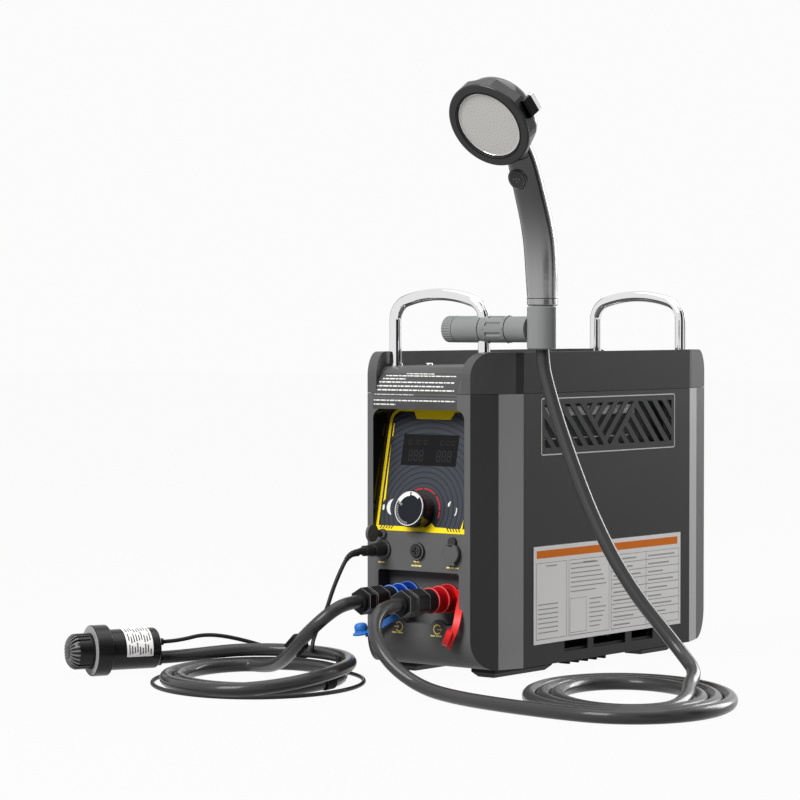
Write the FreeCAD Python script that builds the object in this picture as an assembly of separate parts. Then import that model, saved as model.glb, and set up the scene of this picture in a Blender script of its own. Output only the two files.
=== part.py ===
import FreeCAD, Part
import math
import os

# Portable propane water heater. Millimetres, +Z up.
# Origin: centre of the case on the floor. The control end faces -Y.

# ---------------------------------------------------------------- case
CASE_LENGTH = 420.0          # along Y
CASE_WIDTH = 166.0           # along X, over the side panels
NOSE_WIDTH = 126.0           # width of the flat end faces
STRIP_OUTER_WIDTH = 147.0    # width at the joint of end cap and corner strip
CAP_RUN = 31.8               # length of an end cap's slanted sides along Y
STRIP_RUN = 28.7             # length of a corner strip along Y
FOOT_HEIGHT = 10.0
SEAM_Z = 277.3               # joint of the case and the top cover
DECK_Z = 303.5               # tray floor of the top cover
LIP_RISE = 14.1              # height of the side lips above the deck
LIP_WIDTH = 11.0
LIP_RADIUS = 24.0
DECK_RADIUS = 30.0
BOTTOM_RADIUS = 31.0
MOULDED_WALL = 2.5
SHEET_WALL = 1.5
REVEAL = 0.4                 # visible joint between the case parts
FIT = 0.05                   # radial clearance of a running fit
CLEAR = 0.3                  # clearance between separate parts

# ---------------------------------------------------------------- feet and base
FOOT_WIDTH = 29.0
FOOT_OUTER_X = 63.0
FRONT_FOOT = (-169.0, -73.0)     # from and to along Y
REAR_FOOT = (90.0, 150.0)
FOOT_BEVEL = 5.0
PAN_FLANGE = 10.0
RIB_COUNT = 5
RIB_PITCH = 16.0
RIB_THICKNESS = 3.0
RIB_LENGTH = 12.0
RIB_DEPTH = 7.0

# ---------------------------------------------------------------- side panel openings
VENT_LENGTH = 229.0          # field of the vent slots
VENT_LOW_Z = 223.4
VENT_HIGH_Z = 265.8
VENT_SLOT = 6.4
VENT_PITCH = 13.1
VENT_LEAN = 45.0             # slot angle from the horizontal, degrees
VENT_TIP = 2.0               # width of the middle field at its lower end
LOW_SLOT_SPANS = ((-80.0, -39.0), (-29.0, 29.0), (40.0, 80.0))
LOW_SLOT_Z = (20.0, 32.0)

# ---------------------------------------------------------------- control recess
RECESS_WIDTH = 112.0
RECESS_LOW_Z = 142.0
RECESS_HIGH_Z = 262.0
RECESS_RADIUS = 10.0
RECESS_WALL = 2.0
PANEL_TILT = 12.3            # degrees from the vertical
PANEL_SET_BACK = 3.8         # lower edge of the panel behind the end face
PANEL_PLATE = 3.0
PANEL_MARGIN = 3.0
TRIM_WIDTH = 3.0
TRIM_THICKNESS = 0.6
TRIM_BOTTOM = 5.0
TRIM_CORNER = 13.0
TRIM_NOTCH = (-22.6, 19.2, 7.4)  # from, to across, and depth
WINDOW_X = (-35.5, 32.0)
WINDOW_S = (66.0, 96.7)
WINDOW_THICKNESS = 2.0
WINDOW_FIT = 0.15
BOARD_GAP = 12.0
BOARD_THICKNESS = 1.6
BOARD_WIDTH = 96.0
BOARD_HEIGHT = 100.0
KNOB_X = -3.0
KNOB_S = 20.4
KNOB_DIAMETER = 36.0         # over the face
KNOB_FOOT = 33.0             # next to the panel
KNOB_LENGTH = 18.5
KNOB_FACE = 4.0              # thickness of the wide face
KNOB_LIFT = 1.0
KNOB_SHAFT = 6.0
KNOB_BORE_DEPTH = 14.0

# ---------------------------------------------------------------- socket row
SOCKET_Z = 124.0
SOCKET_X = 43.0
SOCKET_FLANGE = 19.0
SOCKET_FLANGE_THICKNESS = 2.5
SOCKET_BODY = 14.0
SOCKET_DEPTH = 16.0
SOCKET_BORE = 10.0
FUSE_FLANGE = 17.0
FUSE_CAP = 12.0
FUSE_STEM = 7.0
CAP_DISC = 17.0
CAP_DISC_THICKNESS = 3.0
CAP_LUG = 9.0
DC_LUG_RISE = 11.0
DC_LUG_LENGTH = 3.5
PUMP_LUG_RISE = 15.5
CAP_STUD = 3.0
STRAP_WIDTH = 6.0

# ---------------------------------------------------------------- fitting bay
BAY_WIDTH = 99.0
BAY_LOW_Z = 53.0
BAY_HIGH_Z = 104.4
BAY_DEPTH = 18.0
BUMP_RADIUS = 10.5
BUMP_CENTRE_Z = 48.0
PORT_X = 24.5
PORT_Z = 78.0
SPUD_DIAMETER = 16.0
SPUD_BORE = 10.0
SPUD_FLANGE = 24.0
COLLAR_LENGTH = 32.0
COLLAR_RIBS = (29.0, 27.0, 25.5)
COLLAR_CORE = 22.0
RIB_WIDTH = 3.0
SLEEVE_LENGTH = 12.0
SLEEVE_DIAMETER = 23.0
NUT_WIDTH = 24.0
NUT_LENGTH = 18.0
TAIL_NECK = 12.0
TAIL_HEX_LENGTH = 10.0
TAIL_COLLAR = 18.0
TAIL_COLLAR_LENGTH = 4.0
PORT_GAP = 2.0

# ---------------------------------------------------------------- handles
HANDLE_TUBE = 12.0
HANDLE_WALL = 1.5
HANDLE_HALF_SPAN = 54.5
HANDLE_SET_BACK = 34.0       # handle tubes behind the end faces
HANDLE_TOP_Z = 380.0
HANDLE_ARCH_RADIUS = 136.0
HANDLE_CORNER_RADIUS = 20.0
HANDLE_FOOT = 15.0
HANDLE_FOOT_HEIGHT = 2.5
HANDLE_STUD = 6.0
HANDLE_NUT = 10.0
HANDLE_NUT_HEIGHT = 5.0
STUD_LENGTH = 12.0

# ---------------------------------------------------------------- inside
POST_X = 48.0
POST_Y = 130.0
POST_SIZE = 8.0
SCREW_SHANK = 4.0
SCREW_HEAD = 8.0
SCREW_HEAD_HEIGHT = 2.4
SCREW_LENGTH = 16.0
RAIL_Z = (100.0, 180.0)
RAIL_HEIGHT = 8.0
CROSS_RAIL_Y = (-45.0, 65.0)
EXCHANGER_WIDTH = 90.0
EXCHANGER_Y = (-60.0, 80.0)
EXCHANGER_HEIGHT = 82.0
FIN_COUNT = 16
FIN_DEPTH = 3.0
BURNER_WIDTH = 76.0
BURNER_Y = (-50.0, 70.0)
BURNER_HEIGHT = 26.0
BURNER_PORTS = 7
HOOD_GAP = 4.0               # clearance between the hood and the frame posts
HOOD_WALL = 1.0
HOOD_Z = (213.0, 276.0)
HOOD_LIP = 1.0
VALVE_X = (-30.0, 10.0)
VALVE_Y = (100.0, 150.0)
VALVE_Z = (40.0, 90.0)
GAS_X = -10.0
GAS_Z = 65.0
GAS_PIPE = 8.0
FLARE_DIAMETER = 15.88
FLARE_LENGTH = 14.0
GAS_STEM = 12.0
WATER_PIPE = 12.0
SENSOR_Y = (-152.0, -112.0)
SENSOR_DIAMETER = 26.0
FAN_Y = 20.0
FAN_SIZE = 80.0
FAN_HEIGHT = 25.0
FAN_DUCT = 76.0
FAN_WHEEL = 72.0
FAN_HUB = 28.0
FAN_BLADES = 7
FAN_SHAFT = 4.0

# ---------------------------------------------------------------- handset holder
HOLDER_Z = 340.0
HOLDER_BARREL = 26.0
CLAMP_KNOB_X = (10.6, 23.2)
CLAMP_KNOB_RIDGES = 30
LEFT_HALF_END = 54.3         # the barrel is split at the handle tube
SLEEVE_START = 54.8
SLEEVE_END = 86.0
HOLDER_NECK_END = 110.0
SLEEVE_GROOVES = 8
CRADLE_X = 123.5
CRADLE_DIAMETER = 29.5
CRADLE_BORE = 24.6
CRADLE_Z = (321.0, 362.0)
CRADLE_SLOT = 14.0
CRADLE_SLOT_TURN = 35.0      # slot direction from +X towards +Y, degrees

# ---------------------------------------------------------------- handset
# Stations of the grip's axis: reach in front of the cradle, z and diameter.
GRIP_STATIONS = ((0.0, 366.5, 29.0), (1.2, 392.0, 31.0), (3.4, 418.0, 32.0),
                 (11.0, 446.0, 31.0), (20.6, 470.0, 30.0), (30.7, 494.0, 28.5))
NECK_STATIONS = ((41.0, 511.0, 26.0), (55.0, 523.0, 24.0))
GRIP_WALL = 3.0
SPIGOT_DIAMETER = 24.0
SPIGOT_LOW_Z = 334.0
SPIGOT_BORE = 9.0
HEAD_REACH = 88.0            # middle of the spray face in front of the cradle
HEAD_Z = 529.3
HEAD_TILT = 32.0             # spray direction below the horizontal, degrees
SPRAY_DIAMETER = 67.0
RING_DIAMETER = 86.0
RING_LENGTH = 15.5
RING_LIP = 3.0
RING_FACETS = 8
RING_FACET_DEPTH = 2.3
RING_FACET_TURN = 4.5
HEAD_RIM = 79.0
HEAD_DEPTH = 32.0
HEAD_DOME_RADIUS = 12.0
HEAD_WALL = 3.0
PLATE_THICKNESS = 3.0
PLATE_RECESS = 2.5
PLATE_POST = 18.0
BUTTON_Z = 487.0
BUTTON_DIAMETER = 18.0
BUTTON_PROUD = 1.5
BUTTON_HEIGHT = 6.0
BUTTON_TRAVEL = 3.0
LEVER_LENGTH = 6.5
LEVER_WIDTH = 18.0
LEVER_OVERLAP = 7.0
LEVER_ANGLE = 14.0           # lever place on the ring, from +X towards up, degrees

# ---------------------------------------------------------------- hoses and cable
HOSE = 13.0
CABLE = 4.0
COIL_TURN_Z = HOSE / 2
COIL_ANGLE = 37.98           # direction of the coils' short axis, degrees from +X
OUTLET_COIL = (267.4, -247.9, 105.0, 145.0, 4)     # centre, half axes, turns
INLET_COIL = (-96.3, -336.6, 97.0, 120.0, 2)

# ---------------------------------------------------------------- pump
PUMP_AIM = (-0.44, -0.90)    # direction from the hose end to the strainer, X and Y
PUMP_REAR = (-232.0, -335.0) # hose end of the body on the floor plan
PUMP_AXIS_Z = 25.0
PUMP_BODY = 40.0
PUMP_BODY_LENGTH = 52.0
PUMP_FLANGE = 50.0
PUMP_FLANGE_LENGTH = 16.0
PUMP_CAGE = 35.0
PUMP_CAGE_LENGTH = 23.0
PUMP_FINS = 24
IMPELLER_DIAMETER = 26.0
IMPELLER_SHAFT = 4.0
PLUG_BARREL = 13.0

X = FreeCAD.Vector(1, 0, 0)
Y = FreeCAD.Vector(0, 1, 0)
Z = FreeCAD.Vector(0, 0, 1)
HALF_LENGTH = CASE_LENGTH / 2
HALF_PANEL = HALF_LENGTH - CAP_RUN - STRIP_RUN
HANDLE_Y = HALF_LENGTH - HANDLE_SET_BACK
STRIP_END = HALF_PANEL + STRIP_RUN
LIP_TOP = DECK_Z + LIP_RISE
PAN_TOP = FOOT_HEIGHT + MOULDED_WALL


def vec(x, y, z):
    return FreeCAD.Vector(x, y, z)


def box(x0, x1, y0, y1, z0, z1):
    return Part.makeBox(x1 - x0, y1 - y0, z1 - z0, vec(x0, y0, z0))


def rod(start, axis, diameter, length):
    return Part.makeCylinder(diameter / 2, length, start, axis)


def tube(start, axis, outer, inner, length):
    return rod(start, axis, outer, length).cut(rod(start, axis, inner, length))


def hexagon(start, axis, width, length):
    """Hexagonal prism, width across its flats."""
    prism = None
    side = axis.cross(Z) if abs(axis.z) < 0.9 else X
    for turn in (0, 60, 120):
        slab = Part.makeBox(width, 2 * width, length, vec(-width / 2, -width, 0))
        slab.rotate(vec(0, 0, 0), Z, turn)
        prism = slab if prism is None else prism.common(slab)
    rotation = FreeCAD.Rotation(side, vec(0, 0, 0), axis, "ZXY")
    prism.Placement = FreeCAD.Placement(start, rotation)
    return prism


def fuse(shapes):
    first, rest = shapes[0], list(shapes[1:])
    return first.fuse(rest).removeSplitter() if rest else first


def cut(shape, tools):
    return shape.cut(list(tools))


def mirrored(shape, normal):
    return shape.mirror(vec(0, 0, 0), normal)


def rounded_slab(x0, x1, z0, z1, y0, y1, radius, top_only=False):
    """Box with its edges along Y rounded, all four or only the upper two."""
    slab = box(x0, x1, y0, y1, z0, z1)
    edges = [e for e in slab.Edges if abs(e.tangentAt(e.FirstParameter).y) > 0.9]
    if top_only:
        edges = [e for e in edges if e.CenterOfMass.z > (z0 + z1) / 2]
    return slab.makeFillet(radius, edges)


def save(name, shapes):
    """Write one node. Shapes is one shape or a list of separate solids."""
    if not isinstance(shapes, (list, tuple)):
        shapes = [shapes]
    solids = [solid for shape in shapes for solid in shape.Solids]
    node = solids[0] if len(solids) == 1 else Part.makeCompound(solids)
    node.exportStep("parts/" + name + ".step")
    sound = all(solid.isValid() for solid in solids)
    print(f"{name:22s} solids {len(solids):2d} volume {node.Volume:11.1f} valid {sound}")


# ---------------------------------------------------------------- case forms
def plan_outline(shrink):
    """Plan of the case: long sides, slanted strips and narrower ends."""
    corners = ((NOSE_WIDTH / 2, HALF_LENGTH), (STRIP_OUTER_WIDTH / 2, STRIP_END),
               (CASE_WIDTH / 2, HALF_PANEL))
    right = [vec(x, y, 0) for x, y in corners] + [vec(x, -y, 0) for x, y in reversed(corners)]
    left = [vec(-p.x, p.y, 0) for p in reversed(right)]
    wire = Part.makePolygon(right + left + [right[0]])
    return wire.makeOffset2D(-shrink, 2) if shrink else wire


def plan_prism(shrink, z0, z1):
    prism = Part.Face(plan_outline(shrink)).extrude(vec(0, 0, z1 - z0))
    prism.translate(vec(0, 0, z0))
    return prism


def side_profile(shrink, top_z, top_radius):
    """Rounded outline of the case seen from the side, as a bar along X."""
    bar = box(-CASE_WIDTH, CASE_WIDTH, shrink - HALF_LENGTH, HALF_LENGTH - shrink,
              FOOT_HEIGHT + shrink, top_z - shrink)
    along = [e for e in bar.Edges if abs(e.tangentAt(e.FirstParameter).x) > 0.9]
    top = [e for e in along if e.CenterOfMass.z > SEAM_Z]
    bottom = [e for e in along if e.CenterOfMass.z < SEAM_Z]
    bar = bar.makeFillet(top_radius - shrink, top)
    along = [e for e in bar.Edges if e.CenterOfMass.z < FOOT_HEIGHT + shrink + 0.1
             and abs(e.tangentAt(e.FirstParameter).x) > 0.9]
    return bar.makeFillet(BOTTOM_RADIUS - shrink, along) if bottom else bar


def case_form(shrink):
    prism = plan_prism(shrink, 0, LIP_TOP)
    return prism.common(side_profile(shrink, LIP_TOP, LIP_RADIUS))


def lower_zone(y0, y1):
    return box(-CASE_WIDTH, CASE_WIDTH, y0, y1, 0, SEAM_Z - REVEAL / 2)


def case_skin(wall):
    return case_form(0).cut(case_form(wall))


# ---------------------------------------------------------------- control panel frame
TILT = math.radians(PANEL_TILT)
PANEL_NORMAL = vec(0, -math.cos(TILT), math.sin(TILT))
PANEL_UP = vec(0, math.sin(TILT), math.cos(TILT))
PANEL_FOOT = vec(0, PANEL_SET_BACK - HALF_LENGTH, RECESS_LOW_Z)
PANEL_HEIGHT = (RECESS_HIGH_Z - RECESS_LOW_Z) / math.cos(TILT)


def on_panel(x, s, depth):
    """Point at x and s on the panel face, depth in front of it."""
    return PANEL_FOOT + X * x + PANEL_UP * s + PANEL_NORMAL * depth


def panel_block(x0, x1, s0, s1, back, front):
    """Block standing on the panel face, from back to front along its normal."""
    block = Part.makeBox(x1 - x0, front - back, s1 - s0, vec(x0, -front, s0))
    block.rotate(vec(0, 0, 0), X, -PANEL_TILT)
    block.translate(PANEL_FOOT)
    return block


def recess_tube(grow, y_front):
    """Bar of the control recess, from y_front back to the panel face."""
    bar = rounded_slab(-RECESS_WIDTH / 2 - grow, RECESS_WIDTH / 2 + grow,
                       RECESS_LOW_Z - grow, RECESS_HIGH_Z + grow,
                       y_front, y_front + 60, RECESS_RADIUS + grow, True)
    behind = panel_block(-CASE_WIDTH, CASE_WIDTH, -60, PANEL_HEIGHT + 60, -80, 0)
    return bar.cut(behind)


# ---------------------------------------------------------------- case parts
def make_base_pan():
    """Floor of the case: tray with a low flange, fan intake and stiffening ribs."""
    end = STRIP_END - REVEAL / 2
    span = box(-CASE_WIDTH, CASE_WIDTH, -end, end, 0, SEAM_Z)
    rim = MOULDED_WALL + CLEAR
    tray = plan_prism(rim, FOOT_HEIGHT, PAN_TOP + PAN_FLANGE)
    tray = tray.cut(plan_prism(rim + MOULDED_WALL, PAN_TOP, SEAM_Z)).common(span)
    slots = []
    for i in range(-3, 4):
        half = math.sqrt((FAN_DUCT / 2) ** 2 - (i * 10.0) ** 2)
        slots.append(box(i * 10.0 - 3, i * 10.0 + 3, FAN_Y - half, FAN_Y + half, 0, PAN_TOP + 1))
    tray = cut(tray, slots)
    ribs = []
    for i in range(RIB_COUNT):
        y = (i - (RIB_COUNT - 1) / 2) * RIB_PITCH - RIB_LENGTH
        ribs.append(box(FOOT_OUTER_X - RIB_LENGTH, FOOT_OUTER_X, y, y + RIB_THICKNESS,
                        FOOT_HEIGHT - RIB_DEPTH, PAN_TOP))
    return fuse([tray] + ribs)


def make_feet():
    feet = []
    for span in (FRONT_FOOT, REAR_FOOT):
        for side in (-1, 1):
            x0, x1 = sorted((side * (FOOT_OUTER_X - FOOT_WIDTH), side * FOOT_OUTER_X))
            pad = box(x0, x1, span[0], span[1], 0, FOOT_HEIGHT)
            low = [e for e in pad.Edges if e.BoundBox.ZMax < 0.1]
            feet.append(pad.makeChamfer(FOOT_BEVEL, low))
    return feet


def make_end_shell(side):
    """Moulded end cap without its openings. Side is -1 in front, 1 behind."""
    y0, y1 = sorted((side * (STRIP_END + REVEAL / 2), side * (HALF_LENGTH + 1)))
    return case_skin(MOULDED_WALL).common(lower_zone(y0, y1))


def make_front_cap():
    shell = make_end_shell(-1)
    inner_face = MOULDED_WALL - HALF_LENGTH
    recess_wall = recess_tube(RECESS_WALL, inner_face - 0.5)
    back_y = BAY_DEPTH - HALF_LENGTH
    bay_wall = box(-BAY_WIDTH / 2 - MOULDED_WALL, BAY_WIDTH / 2 + MOULDED_WALL,
                   inner_face - 0.5, back_y + MOULDED_WALL,
                   BAY_LOW_Z - MOULDED_WALL, BAY_HIGH_Z + MOULDED_WALL)
    solid = fuse([shell, recess_wall, bay_wall])
    solid = solid.cut(recess_tube(0, -HALF_LENGTH - 1))
    bay = rounded_slab(-BAY_WIDTH / 2, BAY_WIDTH / 2, BAY_LOW_Z, BAY_HIGH_Z,
                       -HALF_LENGTH - 1, back_y, 3.0)
    for x in (-PORT_X, PORT_X):
        bay = bay.cut(rod(vec(x, -HALF_LENGTH - 2, BUMP_CENTRE_Z), Y, 2 * BUMP_RADIUS,
                          MOULDED_WALL + 2))
    holes = [bay]
    for x, size in ((-SOCKET_X, SOCKET_BODY), (0, FUSE_CAP), (SOCKET_X, SOCKET_BODY)):
        holes.append(rod(vec(x, -HALF_LENGTH - 1, SOCKET_Z), Y, size + 2 * CLEAR, MOULDED_WALL + 2))
    for x in (-PORT_X, PORT_X):
        holes.append(rod(vec(x, back_y - 1, PORT_Z), Y, SPUD_DIAMETER + 2 * CLEAR,
                         MOULDED_WALL + 2))
    return cut(solid, holes)


def make_rear_cap():
    hole = rod(vec(GAS_X, HALF_LENGTH - 2 * MOULDED_WALL, GAS_Z), Y, GAS_STEM + 2 * CLEAR,
               3 * MOULDED_WALL)
    return make_end_shell(1).cut(hole)


def wall_ring(wall, z1):
    return plan_prism(0, FOOT_HEIGHT, z1).cut(plan_prism(wall, 0, z1 + 1))


def make_corner_strips():
    ring = wall_ring(MOULDED_WALL, SEAM_Z - REVEAL / 2)
    strips = []
    for side in (-1, 1):
        y0, y1 = sorted((side * (HALF_PANEL + REVEAL / 2), side * (STRIP_END - REVEAL / 2)))
        strips += ring.common(box(-CASE_WIDTH, CASE_WIDTH, y0, y1, 0, SEAM_Z)).Solids
    return strips


def leaning_bar(y, z, length, width, lean):
    """Bar along X through the panel, its long side at lean degrees from +Y."""
    bar = box(CASE_WIDTH / 4, CASE_WIDTH, -length / 2, length / 2, -width / 2, width / 2)
    bar.rotate(vec(0, 0, 0), X, lean)
    bar.translate(vec(0, y, z))
    return bar


def vent_cut():
    """Leaning slots in three fields: a V in the middle and a field on each side of it."""
    low, high, half = VENT_LOW_Z, VENT_HIGH_Z, VENT_LENGTH / 2
    lean = math.radians(VENT_LEAN)
    run = (high - low) / math.tan(lean)
    slot, step = VENT_SLOT / math.sin(lean), VENT_PITCH / math.sin(lean)
    tip = VENT_TIP / 2
    outer = tip + step - slot
    fields = (([(-half, low), (-half, high), (-outer - run, high), (-outer, low)], -1, -outer),
              ([(-tip, low), (-tip - run, high), (tip + run, high), (tip, low)], 1, tip),
              ([(outer, low), (outer + run, high), (half, high), (half, low)], -1, half + run))
    slots = []
    for corners, side, edge in fields:
        outline = [vec(0, y, z) for y, z in corners]
        field = Part.Face(Part.makePolygon(outline + outline[:1])).extrude(X * CASE_WIDTH)
        first = edge + side * run / 2 - slot / 2
        for i in range(int(2 * half / step) + 2):
            bar = leaning_bar(first - i * step, (low + high) / 2, VENT_LENGTH, VENT_SLOT,
                              side * VENT_LEAN)
            slots += bar.common(field).Solids
    return slots


def low_slots():
    z0, z1 = LOW_SLOT_Z
    return [box(0, CASE_WIDTH, y0, y1, z0, z1) for y0, y1 in LOW_SLOT_SPANS]


def make_side_panel():
    """Sheet side panel on the +X side, without the vent."""
    length = HALF_PANEL - REVEAL / 2
    panel = wall_ring(SHEET_WALL, SEAM_Z - REVEAL / 2)
    panel = panel.common(box(0, CASE_WIDTH, -length, length, 0, SEAM_Z))
    return cut(panel, low_slots())


def deck_cut(grow):
    """Room above the deck and between the side lips. Grow moves its walls outwards."""
    corners = ((NOSE_WIDTH / 2 - LIP_WIDTH + grow, HALF_LENGTH + 40),
               (NOSE_WIDTH / 2 - LIP_WIDTH + grow, HALF_LENGTH),
               (STRIP_OUTER_WIDTH / 2 - LIP_WIDTH + grow, STRIP_END),
               (CASE_WIDTH / 2 - LIP_WIDTH + grow, HALF_PANEL))
    right = [vec(x, y, SEAM_Z - 20) for x, y in corners]
    right += [vec(x, -y, SEAM_Z - 20) for x, y in reversed(corners)]
    left = [vec(-p.x, p.y, p.z) for p in reversed(right)]
    column = Part.Face(Part.makePolygon(right + left + [right[0]])).extrude(vec(0, 0, 80))
    return column.cut(side_profile(grow, DECK_Z, DECK_RADIUS))


def make_top_cover():
    """Moulded cover: rounded tray with a raised lip along each side."""
    above = box(-CASE_WIDTH, CASE_WIDTH, -CASE_LENGTH, CASE_LENGTH, SEAM_Z + REVEAL / 2,
                LIP_TOP + 1)
    cover = case_form(0).common(above).cut(deck_cut(0))
    hollow = case_form(MOULDED_WALL).cut(deck_cut(MOULDED_WALL))
    cover = cover.cut(hollow)
    holes = []
    for x in (-POST_X, POST_X):
        for y in (-POST_Y, POST_Y):
            holes.append(rod(vec(x, y, SEAM_Z), Z, SCREW_SHANK + 2 * CLEAR, 50))
    for x in (-HANDLE_HALF_SPAN, HANDLE_HALF_SPAN):
        for y in (-HANDLE_Y, HANDLE_Y):
            holes.append(rod(vec(x, y, SEAM_Z), Z, HANDLE_STUD + 2 * CLEAR, 50))
            holes.append(rod(vec(x, y, DECK_Z), Z, HANDLE_FOOT + 2 * CLEAR, LIP_RISE + 1))
    return cut(cover, holes)


def make_cover_screws():
    """Pan head screws with a cross slot, through the deck into the frame posts."""
    screws = []
    for x in (-POST_X, POST_X):
        for y in (-POST_Y, POST_Y):
            head = rod(vec(x, y, DECK_Z), Z, SCREW_HEAD, SCREW_HEAD_HEIGHT)
            head = head.makeFillet(SCREW_HEAD_HEIGHT * 0.6,
                                   [e for e in head.Edges if e.BoundBox.ZMin > DECK_Z + 1
                                    and len(e.Vertexes) == 1])
            shank = rod(vec(x, y, DECK_Z - SCREW_LENGTH), Z, SCREW_SHANK, SCREW_LENGTH)
            slot = SCREW_HEAD_HEIGHT / 2
            top = DECK_Z + SCREW_HEAD_HEIGHT
            cross = [box(x - 2.4, x + 2.4, y - 0.5, y + 0.5, top - slot, top + 1),
                     box(x - 0.5, x + 0.5, y - 2.4, y + 2.4, top - slot, top + 1)]
            screws.append(cut(fuse([head, shank]), cross))
    return screws


def handle_path():
    """Centre line of one handle in its own X-Z plane."""
    s = HANDLE_HALF_SPAN
    arch = HANDLE_ARCH_RADIUS
    corner = HANDLE_CORNER_RADIUS
    arch_z = HANDLE_TOP_Z - HANDLE_TUBE / 2 - arch
    corner_x = s - corner
    lean = math.asin(corner_x / (arch - corner))
    corner_z = arch_z + (arch - corner) * math.cos(lean)
    meet = vec(arch * math.sin(lean), 0, arch_z + arch * math.cos(lean))
    half = (math.pi / 2 - lean) / 2
    bend = vec(corner_x + corner * math.cos(half), 0, corner_z + corner * math.sin(half))
    top = vec(0, 0, arch_z + arch)
    foot = vec(s, 0, DECK_Z + CLEAR)
    knee = vec(s, 0, corner_z)

    def flip(p):
        return vec(-p.x, p.y, p.z)

    edges = [Part.LineSegment(flip(foot), flip(knee)), Part.Arc(flip(knee), flip(bend), flip(meet)),
             Part.Arc(flip(meet), top, meet), Part.Arc(meet, bend, knee),
             Part.LineSegment(knee, foot)]
    return Part.Wire([e.toShape() for e in edges]), flip(foot)


def handle_bar(diameter):
    """Solid bar along the handle's centre line."""
    path, start = handle_path()
    profile = Part.Wire([Part.makeCircle(diameter / 2, start, Z)])
    return path.makePipeShell([profile], True, False)


def make_handle(y):
    """Bent chrome tube with a foot collar and a threaded stud at each end."""
    handle = handle_bar(HANDLE_TUBE).cut(handle_bar(HANDLE_TUBE - 2 * HANDLE_WALL))
    ends = []
    for x in (-HANDLE_HALF_SPAN, HANDLE_HALF_SPAN):
        ends.append(rod(vec(x, 0, DECK_Z), Z, HANDLE_FOOT, HANDLE_FOOT_HEIGHT))
        ends.append(rod(vec(x, 0, DECK_Z - STUD_LENGTH), Z, HANDLE_STUD, STUD_LENGTH + 8))
        ends.append(rod(vec(x, 0, DECK_Z + 1), Z, HANDLE_TUBE - 2 * HANDLE_WALL, 8))
    handle = fuse([handle] + ends)
    handle.translate(vec(0, y, 0))
    return handle


def make_handle_nuts():
    nuts = []
    for x in (-HANDLE_HALF_SPAN, HANDLE_HALF_SPAN):
        for y in (-HANDLE_Y, HANDLE_Y):
            seat = vec(x, y, DECK_Z - MOULDED_WALL - CLEAR - HANDLE_NUT_HEIGHT)
            nut = hexagon(seat, Z, HANDLE_NUT, HANDLE_NUT_HEIGHT)
            nuts.append(nut.cut(rod(seat, Z, HANDLE_STUD + 2 * FIT, HANDLE_NUT_HEIGHT)))
    return nuts


# ---------------------------------------------------------------- control panel
def make_control_panel():
    """Slanted face plate with the window opening and the shaft hole."""
    half = RECESS_WIDTH / 2 + PANEL_MARGIN
    plate = panel_block(-half, half, 0, PANEL_HEIGHT + PANEL_MARGIN, -PANEL_PLATE, 0)
    window = panel_block(WINDOW_X[0] - WINDOW_FIT, WINDOW_X[1] + WINDOW_FIT,
                         WINDOW_S[0] - WINDOW_FIT, WINDOW_S[1] + WINDOW_FIT, -20, 20)
    shaft = rod(on_panel(KNOB_X, KNOB_S, -20), PANEL_NORMAL, KNOB_SHAFT + 2 * CLEAR, 40)
    return cut(plate, [window, shaft])


def make_panel_trim():
    """Raised border round the panel, with a notch tab at the top and a peak below."""
    half = RECESS_WIDTH / 2 - CLEAR
    top = PANEL_HEIGHT - CLEAR
    corner = TRIM_CORNER
    blank = panel_block(-half, half, CLEAR, top, 0, TRIM_THICKNESS)
    edges = [e for e in blank.Edges if e.Length < 2 * TRIM_THICKNESS
             and e.CenterOfMass.z > (RECESS_LOW_Z + RECESS_HIGH_Z) / 2]
    blank = blank.makeFillet(corner, edges)
    inner = panel_block(-half + TRIM_WIDTH, half - TRIM_WIDTH, TRIM_BOTTOM, top - TRIM_WIDTH,
                        -1, TRIM_THICKNESS + 1)
    edges = [e for e in inner.Edges if abs(e.Length - TRIM_THICKNESS - 2) < 0.1
             and e.CenterOfMass.z > (RECESS_LOW_Z + RECESS_HIGH_Z) / 2]
    inner = inner.makeFillet(corner - TRIM_WIDTH, edges)
    x0, x1, depth = TRIM_NOTCH
    slope = depth * 0.6
    notch_top = top - TRIM_WIDTH + 0.5
    tab = [on_panel(x0 - slope, notch_top, -2), on_panel(x0, top - TRIM_WIDTH - depth, -2),
           on_panel(x1, top - TRIM_WIDTH - depth, -2), on_panel(x1 + slope, notch_top, -2)]
    tab = Part.Face(Part.makePolygon(tab + [tab[0]])).extrude(PANEL_NORMAL * 6)
    return blank.cut(inner.cut(tab))


def make_display_window():
    return panel_block(WINDOW_X[0], WINDOW_X[1], WINDOW_S[0], WINDOW_S[1],
                       -WINDOW_THICKNESS, 0)


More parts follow.
